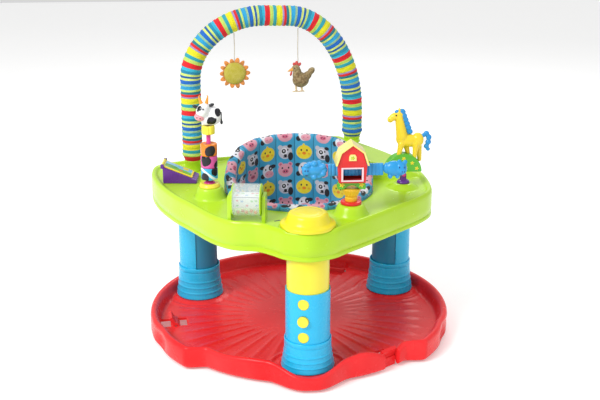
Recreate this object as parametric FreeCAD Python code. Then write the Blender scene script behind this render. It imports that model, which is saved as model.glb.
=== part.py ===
"""Activity jumper: a baby's play tray on three telescoping sprung legs over a red saucer base.

Frame: millimetres, +Z up, floor at z = 0, origin on the axis of the circle through the three legs.
The front leg stands at azimuth -90 degrees (-Y), the right one at 30, the left one at 150.
"""
import FreeCAD, Part
import os
from math import atan2, cos, degrees, hypot, radians, sin, tan

# ---------------------------------------------------------------- driving dimensions
LEG_CIRCLE = 280.0                       # radius of the circle through the leg axes
LEGS = {"front": -90.0, "right": 30.0, "left": 150.0}
GAP = 0.3                                # play between plain sliding or turning surfaces
FIT = 0.05                               # radial play of an axle in its bore

BASE_ROUND, BASE_FLAT, BASE_LOBE = 358.0, 325.0, 363.0
BASE_EDGE, BASE_FLOOR, BASE_RIM = 5.0, 20.0, 58.0
BASE_WALL = 4.0
BOSS_TOP = 30.0                          # the red boss that each foot cup stands on
STABILISERS = {"right": -54.0, "back": 66.0, "left": 186.0}
STABILISER_R, STABILISER_PIN_Z = 300.0, 24.0

CUP_R, CUP_LIP_R, CUP_TOP, CUP_BORE = 58.7, 51.4, 110.0, 48.95
LEG_R, LEG_WALL = 48.6, 2.5
SLEEVE_TOP, SLEEVE_FOOT, SPRING_SEAT = 212.0, 50.0, 78.0
TUBE_FOOT = 121.0
HEIGHT_STEP = 38.0                       # pitch of the three height holes
BUTTON_Z, BUTTON_AZ, BUTTON_R = 152.0, -106.0, 12.2

SKIRT_Z, DECK_Z, DECK_T, RIM_Z = 288.0, 345.0, 3.0, 353.0
TRAY_WALL = 3.0
SEAT_HOLE = 168.0
FABRIC_R, FABRIC_IN, FABRIC_FOOT = 175.0, 149.0, 250.0
SEAT_LIP_Z, SEAT_BACK_Z = 357.0, 430.0

BAR_LEFT, BAR_RIGHT = (-251.0, 170.0), (149.0, 213.0)
BAR_TUBE_R, BAR_SLEEVE_R = 11.0, 25.0

TOTEM = (-207.0, -55.0, 372.0)
BARN = (100.0, -195.0, 370.0)
HORSE = (245.0, -9.0, 357.0)
DRUM = (-125.0, -215.0, 390.0)
DRUM_TURN = -8.5                         # the drum axle's direction from +X, degrees
BOOK = (-317.0, 88.0)
BOOK_TURN = -5.0

V = FreeCAD.Vector
UP = V(0, 0, 1)


# ---------------------------------------------------------------- helpers
def polar(radius, azimuth, z=0.0):
    return V(radius * cos(radians(azimuth)), radius * sin(radians(azimuth)), z)


def turned(shape, angle, centre=V(0, 0, 0), axis=UP):
    copy = shape.copy()
    copy.rotate(centre, axis, angle)
    return copy


def moved(shape, x, y, z=0.0):
    copy = shape.copy()
    copy.translate(V(x, y, z))
    return copy


def box(x0, x1, y0, y1, z0, z1):
    return Part.makeBox(x1 - x0, y1 - y0, z1 - z0, V(x0, y0, z0))


def rod(radius, start, end):
    along = end - start
    return Part.makeCylinder(radius, along.Length, start, along)


def disc(radius, z0, z1, x=0.0, y=0.0):
    return Part.makeCylinder(radius, z1 - z0, V(x, y, z0))


def ring(outer, inner, z0, z1, x=0.0, y=0.0):
    return disc(outer, z0, z1, x, y).cut(disc(inner, z0 - 1, z1 + 1, x, y))


def sector(outer, inner, z0, z1, start, sweep):
    """A part turn of a ring, from azimuth start through sweep degrees."""
    wedge = Part.makeCylinder(outer, z1 - z0, V(0, 0, z0), UP, sweep)
    return turned(wedge, start).cut(disc(inner, z0 - 1, z1 + 1))


def cone(r0, r1, z0, z1, x=0.0, y=0.0):
    return Part.makeCone(r0, r1, z1 - z0, V(x, y, z0))


def plate(points, thickness, along=UP):
    """A flat polygon given a thickness along one direction."""
    wire = Part.makePolygon(list(points) + [points[0]])
    return Part.Face(wire).extrude(along * thickness)


def spun(profile):
    """Turn an (r, z) polygon about the Z axis."""
    wire = Part.makePolygon([V(r, 0, z) for r, z in profile + profile[:1]])
    return Part.Face(wire).revolve(V(0, 0, 0), UP, 360)


def oval(rx, ry, rz, x, y, z):
    """An upright oval block: half width rx, half height rz, and 2 ry thick along Y."""
    wide = rx > rz
    edge = Part.Ellipse(V(0, 0, 0), max(rx, rz), min(rx, rz)).toShape()
    block = Part.Face(Part.Wire(edge)).extrude(UP * 2 * ry)
    block = turned(block, 0 if wide else 90)
    return moved(turned(block, 90, axis=V(1, 0, 0)), x, y + ry, z)


def joined(*shapes):
    return shapes[0].multiFuse(list(shapes[1:])).removeSplitter()


def route(points, share=0.45):
    """Straight runs joined by tangent arcs, each as large as its two runs allow."""
    edges, here = [], points[0]
    for before, corner, after in zip(points, points[1:], points[2:]):
        into, out = corner - before, after - corner
        reach = share * min(into.Length, out.Length)
        into.normalize()
        out.normalize()
        first, last = corner - into * reach, corner + out * reach
        turn = into.getAngle(out)
        radius = reach / tan(turn / 2)
        inward = out - into
        inward.normalize()
        middle = corner + inward * (radius / cos(turn / 2) - radius)
        edges.append(Part.makeLine(here, first))
        edges.append(Part.Arc(first, middle, last).toShape())
        here = last
    edges.append(Part.makeLine(here, points[-1]))
    return Part.Wire(edges)


def swept(path, radius):
    start = path.Edges[0]
    along = start.tangentAt(start.FirstParameter)
    circle = Part.Wire(Part.makeCircle(radius, start.valueAt(start.FirstParameter), along))
    return path.makePipeShell([circle], True, False)


def coil(radius, wire, z0, z1, turns, x=0.0, y=0.0):
    """A compression spring: a square wire, wire mm either side of its middle, wound on a helix."""
    helix = Part.makeHelix((z1 - z0 - 2 * wire) / turns, z1 - z0 - 2 * wire, radius)
    corners = [V(radius + dx * wire, 0, dz * wire) for dx, dz in ((-1, -1), (1, -1), (1, 1), (-1, 1))]
    section = Part.makePolygon(corners + corners[:1])
    return moved(Part.Wire(helix).makePipeShell([section], True, True), x, y, z0 + wire)


def save(name, shape):
    pieces = shape if isinstance(shape, list) else [shape]
    solids = [solid for piece in pieces for solid in piece.Solids]
    whole = solids[0] if len(solids) == 1 else Part.makeCompound(solids)
    whole.exportStep(f"parts/{name}.step")
    box_ = whole.BoundBox
    print(f"{name:22s} {len(solids):2d} solids  valid {whole.isValid()}  {whole.Volume / 1000:9.1f} cm3"
          f"  x {box_.XMin:.0f}..{box_.XMax:.0f}  y {box_.YMin:.0f}..{box_.YMax:.0f}"
          f"  z {box_.ZMin:.1f}..{box_.ZMax:.1f}")


# ---------------------------------------------------------------- red saucer base
LOBE_EDGE, FLAT_EDGE, ROUND_EDGE = 17.0, 42.0, 46.0     # degrees either side of the front leg


def base_outline(inset=0.0):
    """The saucer's plan: a round back and sides, two flats, and a lobe before the front leg."""
    def at(radius, offset):
        return polar(radius - inset, -90.0 + offset)
    flat_mid = (LOBE_EDGE + FLAT_EDGE) / 2
    return Part.Wire([
        Part.Arc(at(BASE_FLAT, -LOBE_EDGE), at(BASE_LOBE, 0), at(BASE_FLAT, LOBE_EDGE)).toShape(),
        Part.Arc(at(BASE_FLAT, LOBE_EDGE), at(BASE_FLAT, flat_mid), at(BASE_FLAT, FLAT_EDGE)).toShape(),
        Part.makeLine(at(BASE_FLAT, FLAT_EDGE), at(BASE_ROUND, ROUND_EDGE)),
        Part.Arc(at(BASE_ROUND, ROUND_EDGE), at(BASE_ROUND, 180), at(BASE_ROUND, -ROUND_EDGE)).toShape(),
        Part.makeLine(at(BASE_ROUND, -ROUND_EDGE), at(BASE_FLAT, -FLAT_EDGE)),
        Part.Arc(at(BASE_FLAT, -FLAT_EDGE), at(BASE_FLAT, -flat_mid), at(BASE_FLAT, -LOBE_EDGE)).toShape(),
    ])


def base_slab(inset, z0, z1):
    return moved(Part.Face(base_outline(inset)), 0, 0, z0).extrude(UP * (z1 - z0))


def foot_screw_places():
    for azimuth in LEGS.values():
        centre = polar(LEG_CIRCLE, azimuth)
        for turn in (60, 180, 300):
            yield centre + polar(38.0, azimuth + turn)


POCKET_R, POCKET_HALF, POCKET_WALL = (272.0, 330.0), 22.0, 4.0


def make_base():
    rim = base_slab(0, BASE_EDGE, BASE_RIM).cut(base_slab(BASE_WALL, 0, BASE_RIM + 1))
    lip = base_slab(0, BASE_RIM - 5, BASE_RIM).cut(base_slab(11, 0, BASE_RIM + 1))
    floor = base_slab(1, BASE_FLOOR, BASE_FLOOR + 4)
    scallop = Part.makeCylinder(90, 60, V(0, -390, 123), V(0, 1, 0))
    pieces = [rim.fuse(lip).cut(scallop), ring(60, 54, BASE_EDGE, BASE_FLOOR)]
    for azimuth in LEGS.values():
        centre = polar(LEG_CIRCLE, azimuth)
        pieces.append(disc(64, BASE_FLOOR + 2, BOSS_TOP, centre.x, centre.y))
    for index in range(12):
        rib = box(56, 262, -1.5, 1.5, 8, BASE_FLOOR + 1)
        pieces.append(turned(rib, 30 * index + 15))
    r0, r1 = POCKET_R
    for azimuth in STABILISERS.values():
        walls = box(r0 - POCKET_WALL, r1 - 8, -POCKET_HALF - POCKET_WALL, POCKET_HALF + POCKET_WALL,
                    8, 44)
        pieces.append(turned(walls, azimuth))
    saucer = floor.multiFuse(pieces)
    cuts = []
    for azimuth in STABILISERS.values():
        cuts.append(turned(box(r0, r1 + 10, -POCKET_HALF, POCKET_HALF, 0, 62), azimuth))
        cuts.append(turned(stabiliser_pin(), azimuth))
    for place in foot_screw_places():
        cuts.append(disc(2, 0, 40, place.x, place.y))
    save("base_saucer", saucer.cut(Part.makeCompound(cuts)).removeSplitter())
    save("base_pad", joined(disc(58, 0, BASE_EDGE), disc(53.7, BASE_EDGE, BASE_FLOOR)))
    screws = []
    for place in foot_screw_places():
        head = disc(4, BASE_FLOOR - 2.5, BASE_FLOOR, place.x, place.y)
        screws.append(joined(head, disc(2, BASE_FLOOR, BOSS_TOP + 3.5, place.x, place.y)))
    save("foot_screws", screws)


def stabiliser_pin():
    return rod(2.5, V(STABILISER_R, -POCKET_HALF - 3, STABILISER_PIN_Z),
               V(STABILISER_R, POCKET_HALF + 3, STABILISER_PIN_Z))


def make_stabilisers():
    """Flip-down feet: the rounded foot stands on the floor, a finger tab lifts it away."""
    half = POCKET_HALF - 1.0
    centre = V(STABILISER_R, -half, STABILISER_PIN_Z)
    foot = Part.makeCylinder(STABILISER_PIN_Z, 2 * half, centre, V(0, 1, 0))
    foot = foot.common(box(STABILISER_R - 11, STABILISER_R + 11, -half, half, 0, STABILISER_PIN_Z))
    hub = Part.makeCylinder(8, 2 * half, centre, V(0, 1, 0))
    tab = turned(box(STABILISER_R - 4, STABILISER_R + 4, -half, half, STABILISER_PIN_Z,
                     STABILISER_PIN_Z + 24), 30, centre, V(0, 1, 0))
    bore = rod(2.5 + FIT, V(STABILISER_R, -40, STABILISER_PIN_Z), V(STABILISER_R, 40, STABILISER_PIN_Z))
    lever = joined(foot, hub, tab).cut(bore)
    for name, azimuth in STABILISERS.items():
        save(f"{name}_stabiliser", turned(lever, azimuth))
    save("stabiliser_pins", [turned(stabiliser_pin(), azimuth) for azimuth in STABILISERS.values()])


# ---------------------------------------------------------------- telescoping legs
def leg_axis(name):
    return polar(LEG_CIRCLE, LEGS[name])


def make_cup(name):
    axis = leg_axis(name)
    flare = [(CUP_LIP_R + (CUP_R - CUP_LIP_R) * (1 - step / 6) ** 2, BOSS_TOP + 64 * step / 6)
             for step in range(7)]
    ledge = [(CUP_LIP_R, CUP_TOP), (CUP_BORE, CUP_TOP), (CUP_BORE, BOSS_TOP + 4), (0, BOSS_TOP + 4)]
    cup = moved(spun([(0, BOSS_TOP)] + flare + ledge), axis.x, axis.y)
    for place in foot_screw_places():
        cup = cup.cut(disc(2, BOSS_TOP - 1, BOSS_TOP + 3.5, place.x, place.y))
    save(f"{name}_foot_cup", cup)


def make_sleeve(name):
    """The blue sprung tube; a plate across it rests on the coil spring."""
    axis = leg_axis(name)
    outer = LEG_R if name == "front" else LEG_R - LEG_WALL - GAP
    sleeve = joined(ring(outer, outer - LEG_WALL, SLEEVE_FOOT, SLEEVE_TOP, axis.x, axis.y),
                    disc(outer - 1, SPRING_SEAT, SPRING_SEAT + 4, axis.x, axis.y))
    if name == "front":
        toward = polar(1, BUTTON_AZ)
        for step in (-1, 0, 1):
            at = V(axis.x, axis.y, BUTTON_Z + step * HEIGHT_STEP)
            sleeve = sleeve.cut(rod(BUTTON_R + GAP, at + toward * 30, at + toward * 60))
    save(f"{name}_sleeve", sleeve)


def make_tube(name):
    """The tube of the tray that slides in the sleeve to set the height."""
    axis = leg_axis(name)
    outer = LEG_R - LEG_WALL - GAP if name == "front" else LEG_R - 2 * (LEG_WALL + GAP)
    tube = ring(outer, outer - LEG_WALL, TUBE_FOOT, DECK_Z - DECK_T, axis.x, axis.y)
    if name == "front":
        reach = HEIGHT_STEP + BUTTON_R
        slot = box(30, 60, -1.6, 1.6, TUBE_FOOT - 1, BUTTON_Z + reach)
        tube = tube.cut(moved(turned(slot, BUTTON_AZ), axis.x, axis.y))
    save(f"{name}_tube", tube)


def make_button():
    """A push button in the middle height hole, with a blade that slides in the tube's slot."""
    axis = leg_axis("front")
    head = rod(BUTTON_R, V(49.2, 0, BUTTON_Z), V(54.5, 0, BUTTON_Z))
    blade = box(42, 50, -1.2, 1.2, BUTTON_Z - 3, BUTTON_Z + 6)
    save("height_button", moved(turned(joined(head, blade), BUTTON_AZ), axis.x, axis.y))


def make_leg_shell(name):
    """The back legs' outer shell: most of a turn, open towards the middle of the saucer."""
    axis = leg_axis(name)
    shell = sector(LEG_R, LEG_R - LEG_WALL, 86, DECK_Z - DECK_T, LEGS[name] - 112, 224)
    save(f"{name}_leg_shell", moved(shell, axis.x, axis.y))


def make_legs():
    for name in LEGS:
        make_cup(name)
        make_sleeve(name)
        make_tube(name)
    for name in ("right", "left"):
        make_leg_shell(name)
    make_button()
    axes = [leg_axis(name) for name in LEGS]
    save("leg_springs", [coil(30, 2.2, BOSS_TOP + 4, SPRING_SEAT, 4, at.x, at.y) for at in axes])


# ---------------------------------------------------------------- green play tray
TRAY_PLAN = [(0, -334), (52, -315), (88, -283), (147, -230), (217, -163), (270, -110), (304, -58),
             (313, 10), (309, 90), (292, 168), (236, 226), (128, 270), (0, 285), (-128, 270),
             (-250, 242), (-334, 202), (-352, 146), (-336, 50), (-297, -48), (-252, -125),
             (-206, -203), (-162, -248), (-108, -264), (-80, -286), (-48, -317)]


def tray_outline(inset=0.0):
    """The tray's plan as one smooth closed curve, moved inwards by inset."""
    count, points = len(TRAY_PLAN), []
    for index, (x, y) in enumerate(TRAY_PLAN):
        x0, y0 = TRAY_PLAN[index - 1]
        x1, y1 = TRAY_PLAN[(index + 1) % count]
        length = hypot(x1 - x0, y1 - y0)
        points.append(V(x - inset * (y1 - y0) / length, y + inset * (x1 - x0) / length, 0))
    curve = Part.BSplineCurve()
    curve.interpolate(points, PeriodicFlag=True)
    return Part.Wire(curve.toShape())


def tray_slab(inset, z0, z1):
    return moved(Part.Face(tray_outline(inset)), 0, 0, z0).extrude(UP * (z1 - z0))


def console_block(inset, top):
    """The raised back right of the tray, which falls away towards the right."""
    front = 70 + inset
    side = [V(-75 + inset, front, DECK_Z - 1), V(-60 + inset, front, top), V(122, front, top),
            V(300, front, top - 50), V(300, front, DECK_Z - 1)]
    body = tray_slab(4 + inset, DECK_Z - 1, top + 1).common(plate(side, 250, V(0, 1, 0)))
    return body.cut(disc(188 + inset, 0, 500))


def drum_frame(shape):
    """Move a shape modelled along X at the origin to the drum's axle."""
    return moved(turned(shape, DRUM_TURN), *DRUM)


DRUM_R, DRUM_HALF, AXLE_R, AXLE_HALF = 35.0, 32.0, 3.0, 41.0


def drum_ears():
    top = 12.0
    ears = []
    for side in (-1, 1):
        x0, x1 = sorted((side * (DRUM_HALF + 0.5), side * (DRUM_HALF + 8.5)))
        flat = box(x0, x1, -22, 22, DECK_Z - 1 - DRUM[2], 0)
        rounded = rod(22, V(x0, 0, 0), V(x1, 0, 0)).common(box(x0, x1, -22, 22, -30, top))
        ears.append(flat.fuse(rounded))
    bored = ears[0].fuse(ears[1]).cut(rod(AXLE_R, V(-60, 0, 0), V(60, 0, 0)))
    return drum_frame(bored)


def station_screw_places():
    """Two screws up through the deck into each of the three standing toys."""
    for (x, y, z), spread in ((TOTEM, 16.0), (BARN, 15.0), (HORSE, 9.0)):
        for side in (-1, 1):
            yield x + side * spread, y, z + 4


def make_tray():
    skirt = tray_slab(0, SKIRT_Z, RIM_Z).cut(tray_slab(TRAY_WALL, SKIRT_Z - 1, DECK_Z - DECK_T))
    skirt = skirt.cut(tray_slab(15, DECK_Z, RIM_Z + 1))
    pieces = [ring(SEAT_HOLE + 3, SEAT_HOLE, 322, DECK_Z), console_block(0, 400), drum_ears()]
    for (x, y, z), foot, top in ((TOTEM, 37, 27), (BARN, 41, 26), (HORSE, 40, 18)):
        pieces.append(cone(foot, top, DECK_Z - 1, z, x, y))
    front = leg_axis("front")
    pieces.append(disc(56, DECK_Z - 1, 350, front.x, front.y + 3).common(tray_slab(1, 300, 400)))
    for name, outer in (("front", LEG_R), ("right", LEG_R + 3), ("left", LEG_R + 3)):
        at = leg_axis(name)
        pieces.append(disc(outer, SKIRT_Z + 6, DECK_Z - 1, at.x, at.y))
    tray = skirt.multiFuse(pieces)
    tray = tray.cut(disc(SEAT_HOLE, 200, 500)).cut(console_block(3, 397).common(disc(500, 346, 397)))
    tray = tray.cut(disc(59 + GAP, 350, RIM_Z + 1, front.x, front.y + 3))
    bores = []
    for name, radius in (("front", LEG_R - LEG_WALL - GAP), ("right", LEG_R), ("left", LEG_R)):
        at = leg_axis(name)
        bores.append(disc(radius, SKIRT_Z - 1, DECK_Z - DECK_T, at.x, at.y))
    for x, y, z in station_screw_places():
        bores.append(disc(2, DECK_Z - 6, z, x, y))
    bores.append(moved(turned(box(-7, 7, -2.5, 2.5, DECK_Z - 6, 352), 25), -62, -228))
    tray = tray.cut(Part.makeCompound(bores))
    save("tray_shell", tray.removeSplitter())
    save("leg_cap", moved(spun([(0, 350), (59, 350), (59, 357), (55, 360), (48, 362), (42, 376),
                                (39, 380), (30, 382), (0, 383)]), front.x, front.y + 3))
    screws = [joined(disc(4, DECK_Z - 6, DECK_Z - DECK_T, x, y), disc(2, DECK_Z - DECK_T, z, x, y))
              for x, y, z in station_screw_places()]
    save("tray_screws", screws)


# ---------------------------------------------------------------- turning seat
LEG_HOLE_R, LEG_HOLE_X, LEG_HOLE_Y = 46.0, 62.0, -25.0


def below_slope(shape, drop):
    """Keep what lies under the seat's sloping top edge, which rises from front to back."""
    rise = (SEAT_BACK_Z - SEAT_LIP_Z) / 235.0
    side = [V(-300, -200, 0), V(-300, 200, 0), V(-300, 200, SEAT_LIP_Z + rise * 260 - drop),
            V(-300, -200, SEAT_LIP_Z - rise * 140 - drop)]
    return shape.common(plate(side, 600, V(1, 0, 0)))


def make_seat():
    """A ring turns on the tray and holds a cloth bag seat with a raised back."""
    flange = ring(FABRIC_R - 1, FABRIC_IN + 7, DECK_Z + GAP, DECK_Z + 3 + GAP)
    collar = ring(SEAT_HOLE - GAP, SEAT_HOLE - 4, 332, DECK_Z + 1)
    save("seat_ring", joined(flange, collar))
    wall = ring(164, 160, DECK_Z + 3 + GAP, 440)
    save("seat_back", below_slope(wall, 8))
    bag = ring(FABRIC_IN + 6.7, FABRIC_IN, FABRIC_FOOT, SEAT_LIP_Z)
    bottom = disc(FABRIC_IN + 1, FABRIC_FOOT, FABRIC_FOOT + 9)
    for side in (-1, 1):
        bottom = bottom.cut(disc(LEG_HOLE_R, 200, 300, side * LEG_HOLE_X, LEG_HOLE_Y))
    roll = ring(FABRIC_R, FABRIC_IN, DECK_Z + 3.6, SEAT_LIP_Z)
    back = below_slope(ring(FABRIC_R, FABRIC_IN, SEAT_LIP_Z - 1, 440), 0)
    room = below_slope(ring(164.3, 159.7, 300, 440), 7.5)
    save("seat_fabric", joined(bag, bottom, roll, back).cut(room))


# ---------------------------------------------------------------- arched toy bar and hanging toys
def bar_point(along, z):
    """A place in the arch's upright plane, along mm from the left foot."""
    span = hypot(BAR_RIGHT[0] - BAR_LEFT[0], BAR_RIGHT[1] - BAR_LEFT[1])
    share = along / span
    return V(BAR_LEFT[0] + share * (BAR_RIGHT[0] - BAR_LEFT[0]),
             BAR_LEFT[1] + share * (BAR_RIGHT[1] - BAR_LEFT[1]), z)


BAR_SPAN = 402.3
LEFT_SHOULDER = (177.0, 570.0, 177.0, 152.0)       # centre along, centre z, half width, half height
RIGHT_SHOULDER = (238.0, 480.0, 164.3, 240.0)
SOCKET_TOP = {"left": 372.0, "right": 414.0}


def bar_path(left_foot, right_foot):
    """Two upright legs and two elliptical shoulders, as tangent runs and arcs."""
    points = [bar_point(0, left_foot)]
    stretch = 1 / cos(radians(15))
    along, z, half, high = LEFT_SHOULDER
    for angle in (15, 45, 75):
        points.append(bar_point(along - half * cos(radians(angle)) * stretch,
                                z + high * sin(radians(angle)) * stretch))
    along, z, half, high = RIGHT_SHOULDER
    for angle in (75, 45, 15):
        points.append(bar_point(along + half * cos(radians(angle)) * stretch,
                                z + high * sin(radians(angle)) * stretch))
    points[1].x, points[1].y = bar_point(0, 0).x, bar_point(0, 0).y
    points[-1].x, points[-1].y = bar_point(BAR_SPAN, 0).x, bar_point(BAR_SPAN, 0).y
    points.append(bar_point(BAR_SPAN, right_foot))
    return route(points, 0.48)


def bar_height(along):
    """The arch's centreline height, for what hangs from it."""
    centre, z, half, high = LEFT_SHOULDER if along < 200 else RIGHT_SHOULDER
    return z + high * (1 - ((along - centre) / half) ** 2) ** 0.5


def make_toy_bar():
    tube = swept(bar_path(DECK_Z, 400), BAR_TUBE_R)
    save("toy_bar_tube", tube)
    padding = swept(bar_path(SOCKET_TOP["left"] + GAP, SOCKET_TOP["right"] + GAP), BAR_SLEEVE_R)
    bore = swept(bar_path(DECK_Z, 400), BAR_TUBE_R + GAP)
    save("toy_bar_sleeve", padding.cut(bore))
    left = ring(21, BAR_TUBE_R, DECK_Z, SOCKET_TOP["left"], *BAR_LEFT)
    right = ring(21, BAR_TUBE_R, 400, SOCKET_TOP["right"], *BAR_RIGHT)
    save("bar_sockets", [left, right])


SUN_ALONG, SUN_Z = 108.0, 584.0
HEN_ALONG, HEN_Z = 264.0, 570.0
STRING_R, STRING_DROP = 1.0, 3.0           # the string starts this far under the padding


def make_string(name, along, foot):
    """A string hangs from the underside of the padded bar."""
    top = bar_height(along) - BAR_SLEEVE_R - STRING_DROP
    start = bar_point(along, top)
    save(name, rod(STRING_R, V(start.x, start.y, foot), start))


def make_hanging_toys():
    bar_turn = degrees(atan2(BAR_RIGHT[1] - BAR_LEFT[1], BAR_RIGHT[0] - BAR_LEFT[0]))
    sun = bar_point(SUN_ALONG, SUN_Z)
    make_string("sun_string", SUN_ALONG, SUN_Z + 28)
    face = Part.makeCylinder(27.5, 12, V(0, -6, 0), V(0, 1, 0))
    save("sun_face", moved(turned(face, bar_turn), *sun))
    outer = Part.makeCylinder(36, 3, V(0, -1.5, 0), V(0, 1, 0))
    petals = outer.cut(Part.makeCylinder(27.8, 40, V(0, -20, 0), V(0, 1, 0)))
    petals = petals.cut(box(-1.5, 1.5, -5, 5, 26, 40))
    save("sun_petals", moved(turned(petals, bar_turn), *sun))
    hen = bar_point(HEN_ALONG, HEN_Z)
    make_string("hen_string", HEN_ALONG, HEN_Z + 26)
    body = oval(28, 13, 22, 2, 0, 3)
    head = oval(12, 9, 12.5, -18, 0, 26).cut(box(-1.6, 1.6, -20, 20, 24, 60))
    legs = joined(box(-8, -2, -3, 3, -38, -12), box(6, 12, -3, 3, -38, -12))
    figure = joined(body, head, legs)
    save("hen_figure", moved(turned(figure, bar_turn), *hen))


# ---------------------------------------------------------------- toys standing on the tray
def make_totem():
    x, y, z = TOTEM
    shaft_r, roller_r, roller = 5.0, 19.0, 28.0
    screws = Part.makeCompound([disc(2, 300, top, sx, sy) for sx, sy, top in station_screw_places()])
    base = cone(24, 21, z, z + 8, x, y).cut(screws)
    save("totem_base", base)
    first = z + 17.0
    top = first + 3 * roller
    shaft = joined(cone(13, shaft_r, z + 8, first, x, y), disc(shaft_r, first - 1, top + 36, x, y))
    save("totem_shaft", shaft)
    for index, name in enumerate(("low", "middle", "top")):
        z0 = first + index * roller + GAP
        save(f"totem_{name}_roller", ring(roller_r, shaft_r + FIT, z0, z0 + roller - GAP, x, y))
    collar_z = top + 22
    save("cow_collar", disc(15, collar_z, collar_z + 19, x, y).cut(
        disc(shaft_r + FIT, collar_z - 1, top + 36.3, x, y)))
    belly = oval(21, 17, 25, x + 12, y + 2, collar_z + 19 + 22)
    head = oval(18, 17, 22, x - 14, y - 6, collar_z + 19 + 32)
    horns = [cone(4, 2, collar_z + 67, collar_z + 90, x + dx, y - 4) for dx in (-17, -4)]
    cow = joined(belly, head, *horns).cut(box(-999, 999, -999, 999, 0, collar_z + 19))
    save("cow_figure", cow)


def barn_profile(grow):
    """The barn's gable outline in its own (x, z), grown outwards for the roof."""
    return [(-29 - grow, 51), (-32 - grow, 88), (-23 - grow, 117 + grow / 2), (0, 134 + grow),
            (23 + grow, 117 + grow / 2), (32 + grow, 88), (29 + grow, 51)]


def barn_block(profile, y0, y1):
    x, y, z = BARN
    points = [V(x + px, y + y0, z + pz) for px, pz in profile]
    return plate(points, y1 - y0, V(0, 1, 0))


SLIDER_Z = (62.5, 89.5)                  # the sliding bar's lower and upper edge above the barn's foot
SLIDER_HALF_T = 4.0


def make_barn():
    x, y, z = BARN
    screws = Part.makeCompound([disc(2, 300, top, sx, sy) for sx, sy, top in station_screw_places()])
    save("barn_ring", disc(23, z, z + 6, x, y).cut(screws))
    save("barn_sheaf", cone(13, 21, z + 6, z + 34, x, y))
    arch = Part.makeCylinder(62, 20, V(x, y - 10, z - 10), V(0, 1, 0))
    arch = arch.common(box(x - 31, x + 31, y - 10, y + 10, z + 34, z + 51))
    save("barn_arch", arch)
    depth = 20.0
    shell = barn_block(barn_profile(0), -depth, depth)
    hollow = [(-26, 54), (-29, 88), (-21, 115), (0, 130), (21, 115), (29, 88), (26, 54)]
    shell = shell.cut(barn_block(hollow, -depth + 3, depth - 3))
    window = box(x - 20, x + 20, y - 40, y, z + 58, z + 83)
    slot = box(x - 50, x + 50, y - SLIDER_HALF_T - GAP, y + SLIDER_HALF_T + GAP,
               z + SLIDER_Z[0] - GAP, z + SLIDER_Z[1] + GAP)
    save("barn_house", shell.cut(window).cut(slot))
    roof = barn_block(barn_profile(4), -depth - 4, depth + 4)
    roof = roof.cut(barn_block(barn_profile(0), -50, 50)).cut(box(x - 60, x + 60, y - 60, y + 60, 0, z + 90))
    save("barn_roof", roof)
    front = y - depth
    frame = box(x - 24, x + 24, front - 2, front, z + 55, z + 86)
    frame = frame.cut(box(x - 20, x + 20, front - 3, front + 1, z + 58, z + 83))
    save("barn_trim", [frame, box(x - 7, x + 7, front - 2, front, z + 102, z + 114)])


def make_slider():
    x, y, z = BARN
    z0, z1 = z + SLIDER_Z[0], z + SLIDER_Z[1]
    middle = (z0 + z1) / 2
    left, right = -50.0, 68.0
    bar = box(x + left, x + right, y - SLIDER_HALF_T, y + SLIDER_HALF_T, z0, z1)
    save("slider_bar", bar)
    sheep = joined(oval(30, 14, 23, x + left - 30, y, middle), oval(13, 12, 15, x + left - 48, y - 2, middle))
    save("slider_sheep", sheep.cut(box(x + left, x + 99, y - 50, y + 50, 0, 999)))
    pig = joined(oval(30, 14, 25, x + right + 30, y, middle + 1), oval(14, 13, 16, x + right + 46, y - 2, middle))
    save("slider_pig", pig.cut(box(x, x + right, y - 50, y + 50, 0, 999)))


PIVOT_R, PIVOT_UP = 2.5, 21.0


def make_horse():
    x, y, z = HORSE
    pivot = z + PIVOT_UP
    screws = Part.makeCompound([disc(2, 300, top, sx, sy) for sx, sy, top in station_screw_places()])
    fork = [box(x - 6, x + 6, y + y0, y + y1, z + 5, pivot + 5) for y0, y1 in ((-10, -4.5), (4.5, 10))]
    pin = rod(PIVOT_R, V(x, y - 11, pivot), V(x, y + 11, pivot))
    save("horse_base", joined(cone(15, 12.5, z, z + 6, x, y), *fork).cut(pin).cut(screws))
    save("toy_axles", [pin, drum_frame(rod(AXLE_R, V(-AXLE_HALF, 0, 0), V(AXLE_HALF, 0, 0)))])
    hill = Part.makeCylinder(43, 26, V(x - 2, y - 13, z + 29), V(0, 1, 0))
    hill = hill.common(box(x - 60, x + 60, y - 13, y + 13, z + 29, z + 90))
    lug = box(x - 5, x + 5, y - 4.2, y + 4.2, pivot - 5, z + 31)
    bore = rod(PIVOT_R + FIT, V(x, y - 20, pivot), V(x, y + 20, pivot))
    save("horse_hill", joined(hill, lug).cut(bore))
    middle = z + 100
    trunk = oval(34, 15, 22, x + 12, y, middle)
    neck = rod(11, V(x - 8, y, middle + 4), V(x - 14, y, middle + 56))
    muzzle = oval(17, 10, 12, x - 16, y, middle + 62)
    legs = [box(x + dx, x + dx + 11, y + dy, y + dy + 8, z + 66, middle)
            for dx in (-14, 26) for dy in (-11, 3)]
    horse = joined(trunk, neck, muzzle, *legs)
    save("horse_figure", horse.cut(Part.makeCylinder(43, 60, V(x - 2, y - 30, z + 29), V(0, 1, 0))))


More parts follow.
